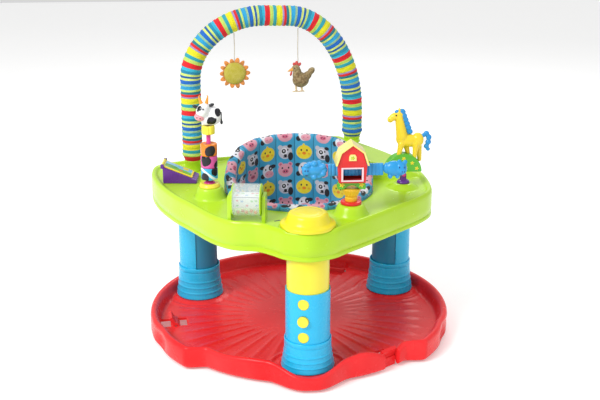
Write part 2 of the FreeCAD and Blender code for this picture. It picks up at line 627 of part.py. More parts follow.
# ---------------------------------------------------------------- see-through drum and picture book
def make_drum():
    half, cap = DRUM_HALF, 3.0

    def along(radius, x0, x1):
        return rod(radius, V(x0, 0, 0), V(x1, 0, 0))
    hub = along(6, -half + cap, half - cap)
    bore = along(AXLE_R + FIT, -60, 60)
    shell = along(DRUM_R, -half + cap, half - cap).cut(along(DRUM_R - 2, -60, 60))
    save("drum_shell", drum_frame(shell))
    caps = [along(DRUM_R, side * half, side * (half - cap)).cut(bore) for side in (-1, 1)]
    save("drum_caps", [drum_frame(each) for each in caps])
    panel = box(-half + cap, half - cap, -16, 16, 10, 11.5)
    core = joined(hub, *[turned(panel.fuse(box(-half + cap, half - cap, -1, 1, 4, 10.5)), 120 * side,
                                axis=V(1, 0, 0)) for side in range(3)])
    save("drum_core", drum_frame(core.cut(bore)))
    beads = [Part.makeSphere(4, V(x, y, -28 + abs(y) * 0.15))
             for x, y in ((-20, -4), (-11, 4.5), (-2, -4), (8, 4.5), (18, -4))]
    save("drum_beads", [drum_frame(bead) for bead in beads])


BOOK_LONG, BOOK_HALF, BOOK_HIGH, BOOK_LOW = 80.0, 30.0, 40.0, 8.0
BOOK_HINGE = (-1.0, BOOK_HIGH + 4.0)     # the page's hinge line in the book's own (x, height)


def make_book():
    """A wedge-shaped book stand with one stiff picture page hinged along its high edge."""
    wedge = [V(0, -BOOK_HALF, 0), V(BOOK_LONG, -BOOK_HALF, 0), V(BOOK_LONG, -BOOK_HALF, BOOK_LOW),
             V(0, -BOOK_HALF, BOOK_HIGH)]
    body = plate(wedge, 2 * BOOK_HALF, V(0, 1, 0))
    hx, hz = BOOK_HINGE
    lugs = [box(-5, 3, y0, y0 + 4, 20, hz + 3).cut(box(-9, 0, y0 - 1, y0 + 6, 0, hz - 8))
            for y0 in (-BOOK_HALF, BOOK_HALF - 4)]
    pin = rod(1.5, V(hx, -BOOK_HALF, hz), V(hx, BOOK_HALF, hz))

    def place(shape):
        return moved(turned(shape, BOOK_TURN), BOOK[0], BOOK[1], DECK_Z)
    save("book_stand", place(joined(body, pin, *lugs)))
    slope = degrees(atan2(BOOK_HIGH - BOOK_LOW, BOOK_LONG))
    barrel = rod(3, V(hx, -BOOK_HALF + 4.5, hz), V(hx, BOOK_HALF - 4.5, hz))
    leaf = box(hx, hx + 76, -BOOK_HALF + 4.5, BOOK_HALF - 4.5, hz - 3, hz)
    leaf = turned(leaf, slope, V(hx, 0, hz), V(0, 1, 0))
    bore = rod(1.5 + FIT, V(hx, -60, hz), V(hx, 60, hz))
    save("book_page", place(joined(barrel, leaf).cut(bore)))


os.makedirs("parts", exist_ok=True)
make_base()
make_stabilisers()
make_legs()
make_tray()
make_seat()
make_toy_bar()
make_hanging_toys()
make_totem()
make_barn()
make_slider()
make_horse()
make_drum()
make_book()
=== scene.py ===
"""Looks of a baby's activity jumper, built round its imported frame, in metres."""
import random
from math import atan2, cos, exp, hypot, pi, radians, sin, sqrt

import bmesh
import bpy
from mathutils import Matrix, Vector


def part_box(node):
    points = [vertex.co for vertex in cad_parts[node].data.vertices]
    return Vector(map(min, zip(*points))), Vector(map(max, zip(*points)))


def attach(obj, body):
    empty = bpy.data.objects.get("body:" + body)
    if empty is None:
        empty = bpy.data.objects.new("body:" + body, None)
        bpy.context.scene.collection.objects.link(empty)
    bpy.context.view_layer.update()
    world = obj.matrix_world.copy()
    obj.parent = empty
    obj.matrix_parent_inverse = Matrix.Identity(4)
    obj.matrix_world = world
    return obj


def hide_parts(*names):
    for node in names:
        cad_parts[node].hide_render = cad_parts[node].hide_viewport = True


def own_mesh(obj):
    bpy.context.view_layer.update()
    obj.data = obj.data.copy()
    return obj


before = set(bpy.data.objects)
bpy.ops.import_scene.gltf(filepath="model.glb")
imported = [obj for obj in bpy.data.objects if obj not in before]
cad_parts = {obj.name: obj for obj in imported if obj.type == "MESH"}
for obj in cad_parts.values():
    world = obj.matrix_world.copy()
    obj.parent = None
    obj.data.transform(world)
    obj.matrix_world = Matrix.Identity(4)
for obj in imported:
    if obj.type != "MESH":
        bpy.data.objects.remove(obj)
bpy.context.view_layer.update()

# ---------------------------------------------------------------- camera and studio
# A standing person's view, a little to the left of the front leg, in a white room with broad
# soft lights. The floor is a plain pale sheet.
scene = bpy.context.scene
scene.view_settings.view_transform = "Standard"

camera = bpy.data.objects.new("camera", bpy.data.cameras.new("camera"))
scene.collection.objects.link(camera)
camera.data.sensor_width = 36.0
camera.data.lens = 63.45
camera.location = (-0.1628, -2.3625, 1.0906)
LOOK_DOWN, HEADING = radians(18.12), (0.0699, 0.9976)
look = Vector((HEADING[0] * cos(LOOK_DOWN), HEADING[1] * cos(LOOK_DOWN), -sin(LOOK_DOWN)))
camera.rotation_euler = look.to_track_quat("-Z", "Y").to_euler()
scene.camera = camera


def soft_light(name, place, target, side, watts):
    data = bpy.data.lights.new(name, "AREA")
    data.shape, data.size, data.energy = "DISK", side, watts
    light = bpy.data.objects.new(name, data)
    scene.collection.objects.link(light)
    light.location = place
    aim = Vector(target) - Vector(place)
    light.rotation_euler = aim.to_track_quat("-Z", "Y").to_euler()


MIDDLE = (0.0, 0.0, 0.35)
soft_light("key_light", (-1.9, -1.7, 2.5), MIDDLE, 1.5, 84)
soft_light("fill_light", (2.2, -1.6, 1.9), MIDDLE, 1.8, 6)
soft_light("rim_light", (0.6, 2.2, 2.4), MIDDLE, 1.6, 26)
world = bpy.data.worlds.new("white_room")
world.use_nodes = True
world.node_tree.nodes["Background"].inputs["Color"].default_value = (1.0, 1.0, 1.0, 1.0)
world.node_tree.nodes["Background"].inputs["Strength"].default_value = 0.68
scene.world = world


# ---------------------------------------------------------------- shader sums, and the floor
# Patterns are written as sums on shader values; the floor is the first thing that uses them.
class Value:
    """One output of a shader tree, with the arithmetic that patterns need."""

    def __init__(self, paint, socket):
        self.paint, self.socket = paint, socket

    def math(self, operation, *others, clamp=False):
        node = self.paint.node("ShaderNodeMath", {"operation": operation, "use_clamp": clamp})
        for index, each in enumerate((self, *others)):
            self.paint.feed(node.inputs[index], each)
        return Value(self.paint, node.outputs[0])

    def __add__(self, other):
        return self.math("ADD", other)

    def __sub__(self, other):
        return self.math("SUBTRACT", other)

    def __rsub__(self, other):
        return (self * -1.0).math("ADD", other)

    def __mul__(self, other):
        return self.math("MULTIPLY", other)

    def __truediv__(self, other):
        return self.math("DIVIDE", other)

    __radd__, __rmul__ = __add__, __mul__

    def ramp(self, low, high):
        """0 below low, 1 above high, and smooth between; low above high turns it round."""
        turn = low > high
        node = self.paint.node("ShaderNodeMapRange", {"interpolation_type": "SMOOTHSTEP"},
                               Value=self, **{"From Min": min(low, high), "From Max": max(low, high),
                                              "To Min": float(turn), "To Max": float(not turn)})
        return Value(self.paint, node.outputs[0])

    def either(self, other):
        return self.math("MAXIMUM", other)

    def both(self, other):
        return self.math("MINIMUM", other)


class Paint:
    """A material being mixed: its Principled shader and the pattern that feeds it."""

    def __init__(self, name, **sockets):
        self.material = bpy.data.materials.new(name)
        self.material.use_nodes = True
        self.tree = self.material.node_tree
        self.shader = self.tree.nodes["Principled BSDF"]
        self.set(**sockets)

    def feed(self, socket, value):
        if isinstance(value, Value):
            self.tree.links.new(value.socket, socket)
        elif isinstance(value, tuple) and socket.type == "RGBA":
            socket.default_value = (*value, 1.0)
        else:
            socket.default_value = value

    def node(self, kind, settings=None, **sockets):
        node = self.tree.nodes.new(kind)
        for name, value in (settings or {}).items():
            setattr(node, name, value)
        for name, value in sockets.items():
            self.feed(node.inputs[name], value)
        return node

    def set(self, **sockets):
        for name, value in sockets.items():
            self.feed(self.shader.inputs[name.replace("_", " ")], value)
        return self

    def place(self, source="Object"):
        return Value(self, self.node("ShaderNodeTexCoord").outputs[source])

    def xyz(self, centre=(0.0, 0.0, 0.0), source="Object"):
        split = self.node("ShaderNodeSeparateXYZ", Vector=self.place(source))
        return [Value(self, split.outputs[index]) - centre[index] for index in range(3)]

    def attribute(self, name):
        node = self.node("ShaderNodeAttribute", {"attribute_name": name})
        return Value(self, node.outputs["Fac"])

    def noise(self, scale, detail=2.0, where=None):
        node = self.node("ShaderNodeTexNoise", None, Vector=where or self.place(), Scale=scale,
                         Detail=detail)
        return Value(self, node.outputs[0])

    def cells(self, scale, output="Distance", feature="F1"):
        node = self.node("ShaderNodeTexVoronoi", {"feature": feature}, Vector=self.place(), Scale=scale)
        return Value(self, node.outputs[output])

    def mix(self, mask, below, above):
        node = self.node("ShaderNodeMix", {"data_type": "RGBA"})
        for socket, value in ((node.inputs[0], mask), (node.inputs[6], below), (node.inputs[7], above)):
            self.feed(socket, value)
        return Value(self, node.outputs[2])

    def relief(self, height, depth, strength=1.0):
        node = self.node("ShaderNodeBump", None, Height=height, Distance=depth, Strength=strength)
        self.tree.links.new(node.outputs[0], self.shader.inputs["Normal"])
        return self


def lighter(colour, amount):
    return tuple(min(1.0, part + (1.0 - part) * amount) for part in colour)


def darker(colour, amount):
    return tuple(part * (1.0 - amount) for part in colour)


def new_piece(name, verts, faces, paint=None, smooth=True):
    mesh = bpy.data.meshes.new(name)
    mesh.from_pydata([tuple(v) for v in verts], [], faces)
    mesh.update()
    piece = bpy.data.objects.new(name, mesh)
    scene.collection.objects.link(piece)
    for polygon in mesh.polygons:
        polygon.use_smooth = smooth
    if paint:
        mesh.materials.append(paint.material)
    return piece


floor_paint = Paint("pale_floor", Roughness=0.75, Emission_Color=(1.0, 1.0, 1.0), Emission_Strength=0.22)
speckle = floor_paint.noise(9.0, 3.0)
floor_paint.set(Base_Color=floor_paint.mix(speckle, (0.90, 0.90, 0.89), (0.93, 0.93, 0.93)))
FLOOR_HALF, FLOOR_Z = 6.0, -0.0005
floor_corners = [(x * FLOOR_HALF, y * FLOOR_HALF, FLOOR_Z) for x, y in ((-1, -1), (1, -1), (1, 1), (-1, 1))]
floor = new_piece("floor", floor_corners, [(0, 1, 2, 3)], floor_paint, smooth=False)


# ---------------------------------------------------------------- red saucer base
# One blow-moulded polypropylene shell: a dished floor with fanned ribs, a boss for each foot cup,
# a rolled rim, a hand-hold each side, and three pockets for the flip-down feet.
def moulded_plastic(name, colour, gloss=0.32, grain=900.0, depth=0.00003, tone=0.05):
    """Moulded toy plastic: slightly uneven colour and shine, and a fine pebbled skin."""
    paint = Paint(name, IOR=1.48, Specular_IOR_Level=0.38)
    cloud = paint.noise(7.0, 3.0)
    paint.set(Base_Color=paint.mix(cloud.ramp(0.3, 0.7), darker(colour, tone), lighter(colour, tone * 0.5)))
    fine = paint.noise(grain, 2.0)
    paint.set(Roughness=paint.noise(45.0, 4.0) * 0.12 + (gloss - 0.06))
    return paint.relief(fine * 0.6 + paint.noise(grain * 0.11, 2.0) * 0.4, depth)


def smooth_step(value, low, high):
    share = min(1.0, max(0.0, (value - low) / (high - low)))
    return share * share * (3 - 2 * share)


def off_degrees(azimuth, centre):
    """How far azimuth lies from centre, both in degrees, between -180 and 180."""
    return (azimuth - centre + 180.0) % 360.0 - 180.0


def bell(distance, width):
    return exp(-(distance / width) ** 2)


LEG_AZIMUTH = {"front": -90.0, "right": 30.0, "left": 150.0}


def middle_of(node):
    low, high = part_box(node)
    return (low + high) / 2


LEG_AXIS = {name: middle_of(f"{name}_foot_cup") for name in LEG_AZIMUTH}
RIM_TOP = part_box("base_saucer")[1].z
SAUCER_ROUND, SAUCER_FLAT, SAUCER_LOBE = 0.358, 0.325, 0.363
POCKET_AZIMUTH = {"right": -54.0, "back": 66.0, "left": 186.0}
HAND_HOLDS = (-19.0, -160.0)


def saucer_edge(azimuth):
    """The saucer's radius: round, with two flats and a lobe about the front leg."""
    off = abs(off_degrees(azimuth, LEG_AZIMUTH["front"]))
    lobe = SAUCER_FLAT + (SAUCER_LOBE - SAUCER_FLAT) * (1 - smooth_step(off, 2, 17))
    edge = lobe + (SAUCER_ROUND - lobe) * smooth_step(off, 43, 50)
    if off > 48:
        edge -= 0.004 * bell(off_degrees(off, 68), 5)
    return edge


def saucer_rim(azimuth):
    """The rim's height: low in front of the front leg, and raised into a flap beside a pocket."""
    rim = RIM_TOP - 0.002 - 0.022 * bell(off_degrees(azimuth, LEG_AZIMUTH["front"]), 10)
    rim -= 0.021 * bell(off_degrees(azimuth, -54), 6.5)
    rim -= 0.006 * bell(off_degrees(azimuth, -126), 9)
    return rim + 0.004 * bell(off_degrees(azimuth, -68), 4)


def dish_height(x, y, radius, azimuth):
    """The floor of the saucer: ribs fanned from the middle, and a boss round each leg."""
    ribs = 0.5 + 0.5 * cos(radians(azimuth) * 40)
    spread = smooth_step(radius, 0.10, 0.16) * (1 - smooth_step(radius, 0.285, 0.305))
    height = 0.0245 + 0.0015 * ribs ** 3 * spread + 0.002 * bell(radius, 0.06)
    for axis in LEG_AXIS.values():
        near = hypot(x - axis.x, y - axis.y)
        boss = 1 - smooth_step(near, 0.063, 0.076)
        height = height * (1 - boss) + 0.0296 * boss
        height += 0.0022 * bell(near - 0.083, 0.004)
    return height


def ring_mesh(name, loops, paint, close_start=True, close_end=True):
    """Skin a list of closed loops of equal count, from one end to the other."""
    count = len(loops[0])
    verts = [point for loop in loops for point in loop]
    faces = []
    for row in range(len(loops) - 1):
        for col in range(count):
            nxt = (col + 1) % count
            faces.append((row * count + col, row * count + nxt,
                          (row + 1) * count + nxt, (row + 1) * count + col))
    for wanted, row, turn in ((close_start, 0, -1), (close_end, len(loops) - 1, 1)):
        if wanted:
            centre = sum((Vector(point) for point in loops[row]), Vector()) / count
            verts.append(centre)
            tip = len(verts) - 1
            for col in range(count):
                pair = (row * count + col, row * count + (col + 1) % count)
                faces.append((*pair[::turn], tip))
    return new_piece(name, verts, faces, paint)


saucer_paint = moulded_plastic("red_shell", (0.86, 0.016, 0.020), gloss=0.26)
saucer_paint.set(Specular_IOR_Level=0.18)
SPOKES = 720
PLAIN_WALL, ROLL_FOOT, WALL_SPAN = 0.0085, 0.0195, 0.0365
WALL = ((0.0105, 0.0065), (0.005, 0.0052), (0.0015, 0.0085), (0.0, 0.014), (0.0004, 0.024), (0.0, 0.034))
ROLL = ((0.0, -0.011), (0.0008, -0.006), (0.003, -0.0022), (0.0065, -0.0002), (0.0105, -0.0006),
        (0.0145, -0.003), (0.0175, -0.0075), (0.0195, -0.013))


def hand_hold(azimuth, share):
    return sum(0.010 * bell(off_degrees(azimuth, at), 4.2) ** 0.5 for at in HAND_HOLDS) * share


def wall_height(azimuth, z):
    """The outer wall is squashed where the rim dips."""
    return min(z, PLAIN_WALL) + max(0.0, z - PLAIN_WALL) * (saucer_rim(azimuth) - ROLL_FOOT) / WALL_SPAN


def roll_height(azimuth, below):
    """The rolled rim is thinner where it dips."""
    rim = saucer_rim(azimuth)
    return rim + below * min(1.0, (rim - 0.0275) / 0.02)


def saucer_loop(inset, height):
    """height is a number from the floor up, or a function of the azimuth."""
    points = []
    for index in range(SPOKES):
        azimuth = 360.0 * index / SPOKES - 180.0
        z = height(azimuth) if callable(height) else height
        grip = hand_hold(azimuth, smooth_step(z, 0.008, 0.016) * (1 - smooth_step(z, 0.040, 0.046)))
        radius = saucer_edge(azimuth) - inset - (grip if inset < 0.012 else 0.0)
        points.append(Vector((radius * cos(radians(azimuth)), radius * sin(radians(azimuth)), z)))
    return points


def floor_loop(share, lift=0.0, under=False):
    """A loop of the dish floor at a share of the way out to the foot of the wall."""
    points = []
    for index in range(SPOKES):
        azimuth = 360.0 * index / SPOKES - 180.0
        radius = (saucer_edge(azimuth) - 0.027) * share
        x, y = radius * cos(radians(azimuth)), radius * sin(radians(azimuth))
        z = 0.0195 if under else dish_height(x, y, radius, azimuth) + lift
        points.append(Vector((x, y, z)))
    return points


loops = [floor_loop(share, under=True) for share in (0.19, 0.6, 0.95)]
loops.append(saucer_loop(0.016, 0.0185))
for inset, z in WALL:
    loops.append(saucer_loop(inset, lambda azimuth, z=z: wall_height(azimuth, z)))
for inset, below in ROLL:
    loops.append(saucer_loop(inset, lambda azimuth, below=below: roll_height(azimuth, below)))
loops.append(saucer_loop(0.0215, lambda azimuth: 0.5 * roll_height(azimuth, -0.013) + 0.01375))
loops.append(saucer_loop(0.0240, 0.0275))
FLOOR_STEPS = 46
for step in range(FLOOR_STEPS):
    loops.append(floor_loop(1.0 - 0.97 * step / (FLOOR_STEPS - 1)))         # in to 3% of the way
saucer = ring_mesh("saucer_base", loops, saucer_paint)


def weld(piece, distance=1e-6):
    """Merge doubled points and turn every face outwards."""
    mesh = bmesh.new()
    mesh.from_mesh(piece.data)
    bmesh.ops.remove_doubles(mesh, verts=mesh.verts, dist=distance)
    bmesh.ops.recalc_face_normals(mesh, faces=mesh.faces)
    mesh.to_mesh(piece.data)
    mesh.free()
    return piece


def carve(piece, cutters, operation="DIFFERENCE"):
    """Cut the cutters out of a closed piece, and take the cutters away."""
    for cutter in cutters:
        boolean = piece.modifiers.new("cut", "BOOLEAN")
        boolean.operation, boolean.object, boolean.solver = operation, cutter, "EXACT"
        settle(piece)
        bpy.data.objects.remove(cutter)


def settle(piece):
    """Apply a piece's modifiers to its mesh."""
    graph = bpy.context.evaluated_depsgraph_get()
    mesh = bpy.data.meshes.new_from_object(piece.evaluated_get(graph))
    piece.modifiers.clear()
    piece.data = mesh
    return piece


def block(name, low, high, paint=None, bevel=0.0, turn=0.0, centre=(0, 0, 0), segments=3):
    """A box between two corners with rounded edges, turned about the Z axis through centre."""
    corners = [Vector((x, y, z)) for z in (low[2], high[2]) for x, y in
               ((low[0], low[1]), (high[0], low[1]), (high[0], high[1]), (low[0], high[1]))]
    spin = Matrix.Translation(Vector(centre)) @ Matrix.Rotation(radians(turn), 4, "Z")
    spin = spin @ Matrix.Translation(-Vector(centre))
    faces = [(3, 2, 1, 0), (4, 5, 6, 7), (0, 1, 5, 4), (1, 2, 6, 5), (2, 3, 7, 6), (3, 0, 4, 7)]
    piece = new_piece(name, [spin @ corner for corner in corners], faces, paint, smooth=False)
    if bevel:
        edge = piece.modifiers.new("edge", "BEVEL")
        edge.width, edge.segments, edge.harden_normals = bevel, segments, True
        settle(piece)
        for polygon in piece.data.polygons:
            polygon.use_smooth = True
    return piece


pocket_cuts = [block("pocket_cut", (0.2725, -0.0215, -0.01), (0.335, 0.0215, 0.08), turn=azimuth)
               for azimuth in POCKET_AZIMUTH.values()]
carve(weld(saucer), pocket_cuts)


def keep(piece, node, body):
    """Say which node a piece stands for, if any, and the body it moves with."""
    if node:
        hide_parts(node)
    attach(piece, body)
    return piece


keep(saucer, "base_saucer", "base")


def finish_node(node, paint):
    """Give a carried-over part its finish."""
    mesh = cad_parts[node].data
    mesh.materials.clear()
    mesh.materials.append(paint.material)


for side in POCKET_AZIMUTH:
    finish_node(f"{side}_stabiliser", saucer_paint)

# Fasteners and the pad under the saucer: zinc-plated screws and pins, and a ribbed rubber disc.
steel_paint = Paint("zinc_steel", Metallic=1.0, IOR=2.5)
brush = steel_paint.noise(160.0, 4.0)
steel_paint.set(Base_Color=steel_paint.mix(brush, (0.42, 0.43, 0.45), (0.66, 0.67, 0.68)),
                Roughness=brush * 0.25 + 0.2)
steel_paint.relief(brush, 0.00003)
for node in ("foot_screws", "stabiliser_pins", "tray_screws", "toy_axles"):
    finish_node(node, steel_paint)
rubber_paint = Paint("black_rubber")
bloom = rubber_paint.noise(60.0)
rubber_paint.set(Base_Color=rubber_paint.mix(bloom, (0.018, 0.018, 0.018), (0.035, 0.035, 0.035)),
                 Roughness=rubber_paint.noise(30.0) * 0.2 + 0.6)
rubber_paint.relief(rubber_paint.cells(400.0), 0.0002)
finish_node("base_pad", rubber_paint)


# ---------------------------------------------------------------- cyan foot cups and legs
# Moulded legs, each on a steel spring in a flared cup that is screwed to the saucer. The front leg
# is a plain sleeve with three height holes; each back leg has a shell open towards the middle.
def turned_piece(name, profile, centre, paint, segments=128, closed=False):
    """A lathe-turned shape: (radius, height) pairs spun about an upright axis."""
    loops = [[Vector((centre[0] + radius * cos(2 * pi * k / segments),
                      centre[1] + radius * sin(2 * pi * k / segments), z)) for k in range(segments)]
             for radius, z in profile]
    if closed:
        return ring_mesh(name, loops + loops[:1], paint, False, False)
    return ring_mesh(name, loops, paint)


cyan_paint = moulded_plastic("cyan_leg", (0.006, 0.47, 0.80), gloss=0.27)
# A half-bright copy of the leg cyan: painted shade for the back legs' sleeves and tubes, which sit in the
# shell's open side.
shaded_cyan_paint = moulded_plastic("deep_cyan", (0.004, 0.24, 0.42), gloss=0.34)
CUP_FLARE, CUP_LIP, CUP_BORE = 0.0587, 0.0514, 0.04895
FLARE_HEIGHT, FLARE_STEPS = 0.064, 48
FRONT_CUP_DROP = 0.0115                       # the front cup stops below the lowest height hole
for name in LEG_AZIMUTH:
    low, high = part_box(f"{name}_foot_cup")
    drop = FRONT_CUP_DROP if name == "front" else 0
    top = high.z - drop
    outside = [(CUP_FLARE - 0.002, low.z), (CUP_FLARE - 0.0004, low.z + 0.0008), (CUP_FLARE, low.z + 0.003)]
    for step in range(1, FLARE_STEPS):
        share = step / FLARE_STEPS
        radius = CUP_LIP + (CUP_FLARE - CUP_LIP) * (1 - share) ** 2
        ridge = sum(0.0011 * bell(share - at, 0.028) for at in (0.2, 0.42, 0.64))
        outside.append((radius + ridge, low.z + 0.003 + (FLARE_HEIGHT - drop) * share))
    lip = [(CUP_LIP, top - 0.0125), (CUP_LIP - 0.0004, top - 0.012), (CUP_LIP, top - 0.0115),
           (CUP_LIP, top - 0.0015), (CUP_LIP - 0.0004, top - 0.0004), (CUP_LIP - 0.0012, top),
           (CUP_BORE + 0.0006, top), (CUP_BORE, top - 0.0008), (CUP_BORE, low.z + 0.004)]
    cup = weld(turned_piece(f"{name}_cup", outside + lip, LEG_AXIS[name], cyan_paint))
    keep(cup, f"{name}_foot_cup", "base")
for node in ("front_sleeve", "right_leg_shell", "left_leg_shell"):
    finish_node(node, cyan_paint)
# The back legs' inner parts take the darker cyan copy, which is painted shade.
for node in ("right_sleeve", "left_sleeve", "right_tube", "left_tube"):
    finish_node(node, shaded_cyan_paint)
lemon_paint = moulded_plastic("lemon", (0.86, 0.74, 0.022), gloss=0.24, tone=0.08)
finish_node("front_tube", lemon_paint)

# A zinc-plated compression spring stands in each cup; a bounce shortens all three.
low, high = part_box("leg_springs")
springs = bpy.data.objects.new("leg_coils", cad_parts["leg_springs"].data.copy())
scene.collection.objects.link(springs)
springs.data.materials.clear()
springs.data.materials.append(steel_paint.material)
keep(weld(springs), "leg_springs", "base")
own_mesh(springs)


# ---------------------------------------------------------------- lime play tray
# One moulded tray: a skirt and a rolled rim round a flat deck, low mounds under the standing toys,
# a raised bank at the back right, a seat hole with a turned-down lip, and two ears for the drum.
TRAY_PLAN = ((0, -0.334), (0.052, -0.315), (0.088, -0.283), (0.147, -0.230), (0.217, -0.163),
             (0.270, -0.110), (0.304, -0.058), (0.313, 0.010), (0.309, 0.090), (0.292, 0.168),
             (0.236, 0.226), (0.128, 0.270), (0, 0.285), (-0.128, 0.270), (-0.250, 0.242),
             (-0.334, 0.202), (-0.352, 0.146), (-0.336, 0.050), (-0.297, -0.048), (-0.252, -0.125),
             (-0.206, -0.203), (-0.162, -0.248), (-0.108, -0.264), (-0.080, -0.286), (-0.048, -0.317))
DECK = 0.345
TOTEM, BARN, HORSE = (-0.207, -0.055, 0.372), (0.100, -0.195, 0.370), (0.245, -0.009, 0.357)
CAP = (0.0, -0.277, 0.350)
PLAY = 0.0006                                 # how far the deck stays under what stands on it
MOUNDS = ((TOTEM, 0.037, 0.026), (BARN, 0.041, 0.0255), (HORSE, 0.040, 0.018))


def through(corners, count, steps=40):
    """A closed curve through the corners, as count points an even distance apart."""
    fine, total = [], len(corners)
    for index in range(total):
        p0, p1, p2, p3 = (Vector(corners[(index + shift) % total]) for shift in (-1, 0, 1, 2))
        for step in range(steps):
            t = step / steps
            fine.append(p0 * (-0.5 * t ** 3 + t ** 2 - 0.5 * t) + p1 * (1.5 * t ** 3 - 2.5 * t ** 2 + 1)
                        + p2 * (-1.5 * t ** 3 + 2 * t ** 2 + 0.5 * t) + p3 * (0.5 * t ** 3 - 0.5 * t ** 2))
    fine.append(fine[0])
    gaps = [(b - a).length for a, b in zip(fine, fine[1:])]
    spacing, points, walked, index = sum(gaps) / count, [], 0.0, 0
    for k in range(count):
        while index < len(gaps) - 1 and walked + gaps[index] < k * spacing:
            walked += gaps[index]
            index += 1
        points.append(fine[index].lerp(fine[index + 1], (k * spacing - walked) / gaps[index]))
    return points


EDGE_COUNT = 780
edge = through(TRAY_PLAN, EDGE_COUNT)
inward = []
for k in range(EDGE_COUNT):
    along = (edge[(k + 4) % EDGE_COUNT] - edge[k - 4]).normalized()
    inward.append(Vector((-along.y, along.x)))


def bank_height(x, y):
    """The raised bank at the back right, which falls away to the right."""
    reach = hypot(x, y)
    share = (smooth_step(y, 0.068, 0.078) * smooth_step(x, -0.078, -0.060)
             * smooth_step(reach, 0.187, 0.194))
    top = DECK + 0.055 * smooth_step(x, -0.078, 0.050) - 0.05 * max(0.0, (x - 0.122) / 0.178)
    return DECK + (top - DECK) * share


def deck_height(x, y):
    height = bank_height(x, y)
    for (cx, cy, top), foot, flat in MOUNDS:
        near = hypot(x - cx, y - cy)
        height = max(height, DECK + (top - PLAY - DECK) * (1 - smooth_step(near, flat, foot)))
    near = hypot(x - CAP[0], y - CAP[1])
    return max(height, DECK + (CAP[2] - PLAY - DECK) * (1 - smooth_step(near, 0.0595, 0.0635)))


def edge_loop(inset, z, rises=0.0):
    """The tray's edge moved inwards at one height; rises says how much of the bank it takes up."""
    points = []
    for place, normal in zip(edge, inward):
        spot = place + normal * inset
        height = max(z, DECK + (bank_height(spot.x, spot.y) - DECK) * rises) if rises else z
        if hypot(spot.x - CAP[0], spot.y - CAP[1]) < 0.0600:
            height = min(height, CAP[2] - PLAY)
        points.append(Vector((spot.x, spot.y, height)))
    return points


def hole_loop(radius, z):
    return [Vector((radius * place.x / place.length, radius * place.y / place.length, z)) for place in edge]


loops = [edge_loop(inset, z) for inset, z in (
    (0.0035, 0.3422), (0.0035, 0.2920), (0.0028, 0.2888), (0.0014, 0.2881), (0.0003, 0.2890),
    (0.0, 0.2915), (0.0, 0.2975), (0.0009, 0.2983), (0.0009, 0.2992), (0.0, 0.3000), (0.0, 0.3150),
    (0.0002, 0.3300), (0.0, 0.3420), (0.0004, 0.3462), (0.0014, 0.3494))]
loops += [edge_loop(inset, z, rises) for inset, z, rises in (
    (0.0030, 0.3516, 0.10), (0.0042, 0.3526, 0.45), (0.0050, 0.3529, 0.80), (0.0062, 0.3530, 0.95),
    (0.0080, 0.3529, 1.0), (0.0102, 0.3521, 1.0), (0.0122, 0.3505, 1.0), (0.0140, 0.3482, 1.0),
    (0.0156, 0.3464, 1.0), (0.0175, 0.3454, 1.0))]
DECK_ROWS = 44
rim_foot, hole_edge = edge_loop(0.0198, DECK), hole_loop(0.1742, DECK)
for row in range(DECK_ROWS + 1):
    line = [a.lerp(b, row / DECK_ROWS) for a, b in zip(rim_foot, hole_edge)]
    loops.append([Vector((p.x, p.y, deck_height(p.x, p.y))) for p in line])
loops += [hole_loop(radius, z) for radius, z in (
    (0.1690, 0.3449), (0.1682, 0.3444), (0.1680, 0.3436), (0.1680, 0.3226), (0.1686, 0.3221),
    (0.1704, 0.3221), (0.1710, 0.3228), (0.1710, 0.3422))]
lime = (0.445, 0.700, 0.012)
lime_paint = moulded_plastic("lime_tray", lime, gloss=0.25)
# A small slot in the deck is painted near-black: painted shade standing in for its recess, which is not
# modelled.
SLOT_AT, SLOT_TURN = (-0.062, -0.228, 0.0), radians(25)
x, y, z = lime_paint.xyz(SLOT_AT)
slot_across = x * cos(SLOT_TURN) + y * sin(SLOT_TURN)
slot_along = y * cos(SLOT_TURN) - x * sin(SLOT_TURN)
slot_shade = slot_across.math("ABSOLUTE").ramp(0.0078, 0.0070)
slot_shade = slot_shade.both(slot_along.math("ABSOLUTE").ramp(0.0033, 0.0025)).both(z.ramp(0.340, 0.342))
cloud = lime_paint.noise(7.0, 3.0).ramp(0.3, 0.7)
skin = lime_paint.mix(cloud, darker(lime, 0.05), lighter(lime, 0.02))
lime_paint.set(Base_Color=lime_paint.mix(slot_shade, skin, (0.03, 0.06, 0.002)))
tray = weld(ring_mesh("play_tray", loops + loops[:1], lime_paint, False, False))
keep(tray, "tray_shell", "tray")

for name, axis in LEG_AXIS.items():
    outer, inner = (0.0486, 0.0460) if name == "front" else (0.0516, 0.0489)
    profile = [(outer, 0.3415), (outer, 0.2960), (outer - 0.0006, 0.2944), (outer - 0.0013, 0.2940),
               (inner + 0.0005, 0.2940), (inner, 0.2948), (inner, 0.3415)]
    collar = weld(turned_piece(f"{name}_leg_collar", profile, axis, lime_paint, closed=True))
    keep(collar, None, "tray")


def slab(name, outline, y0, y1, paint, bevel=0.0012, place=Matrix(), segments=3):
    """A flat shape, drawn in x and z, given a thickness along y and rounded edges."""
    count = len(outline)
    verts = [(x, y, z) for y in (y0, y1) for x, z in outline]
    faces = [tuple(range(count)), tuple(reversed(range(count, 2 * count)))]
    faces += [(k, k + count, (k + 1) % count + count, (k + 1) % count) for k in range(count)]
    piece = weld(new_piece(name, verts, faces, paint))
    if bevel:
        rounding = piece.modifiers.new("edge", "BEVEL")
        rounding.width, rounding.segments, rounding.limit_method = bevel, segments, "ANGLE"
        rounding.angle_limit, rounding.harden_normals = radians(40), True
        settle(piece)
    piece.data.transform(place)
    return piece


def arc(radius, start, end, steps=24, centre=(0.0, 0.0), squash=1.0):
    """Points round part of a circle, in degrees."""
    return [(centre[0] + radius * cos(radians(start + (end - start) * k / steps)),
             centre[1] + squash * radius * sin(radians(start + (end - start) * k / steps)))
            for k in range(steps + 1)]


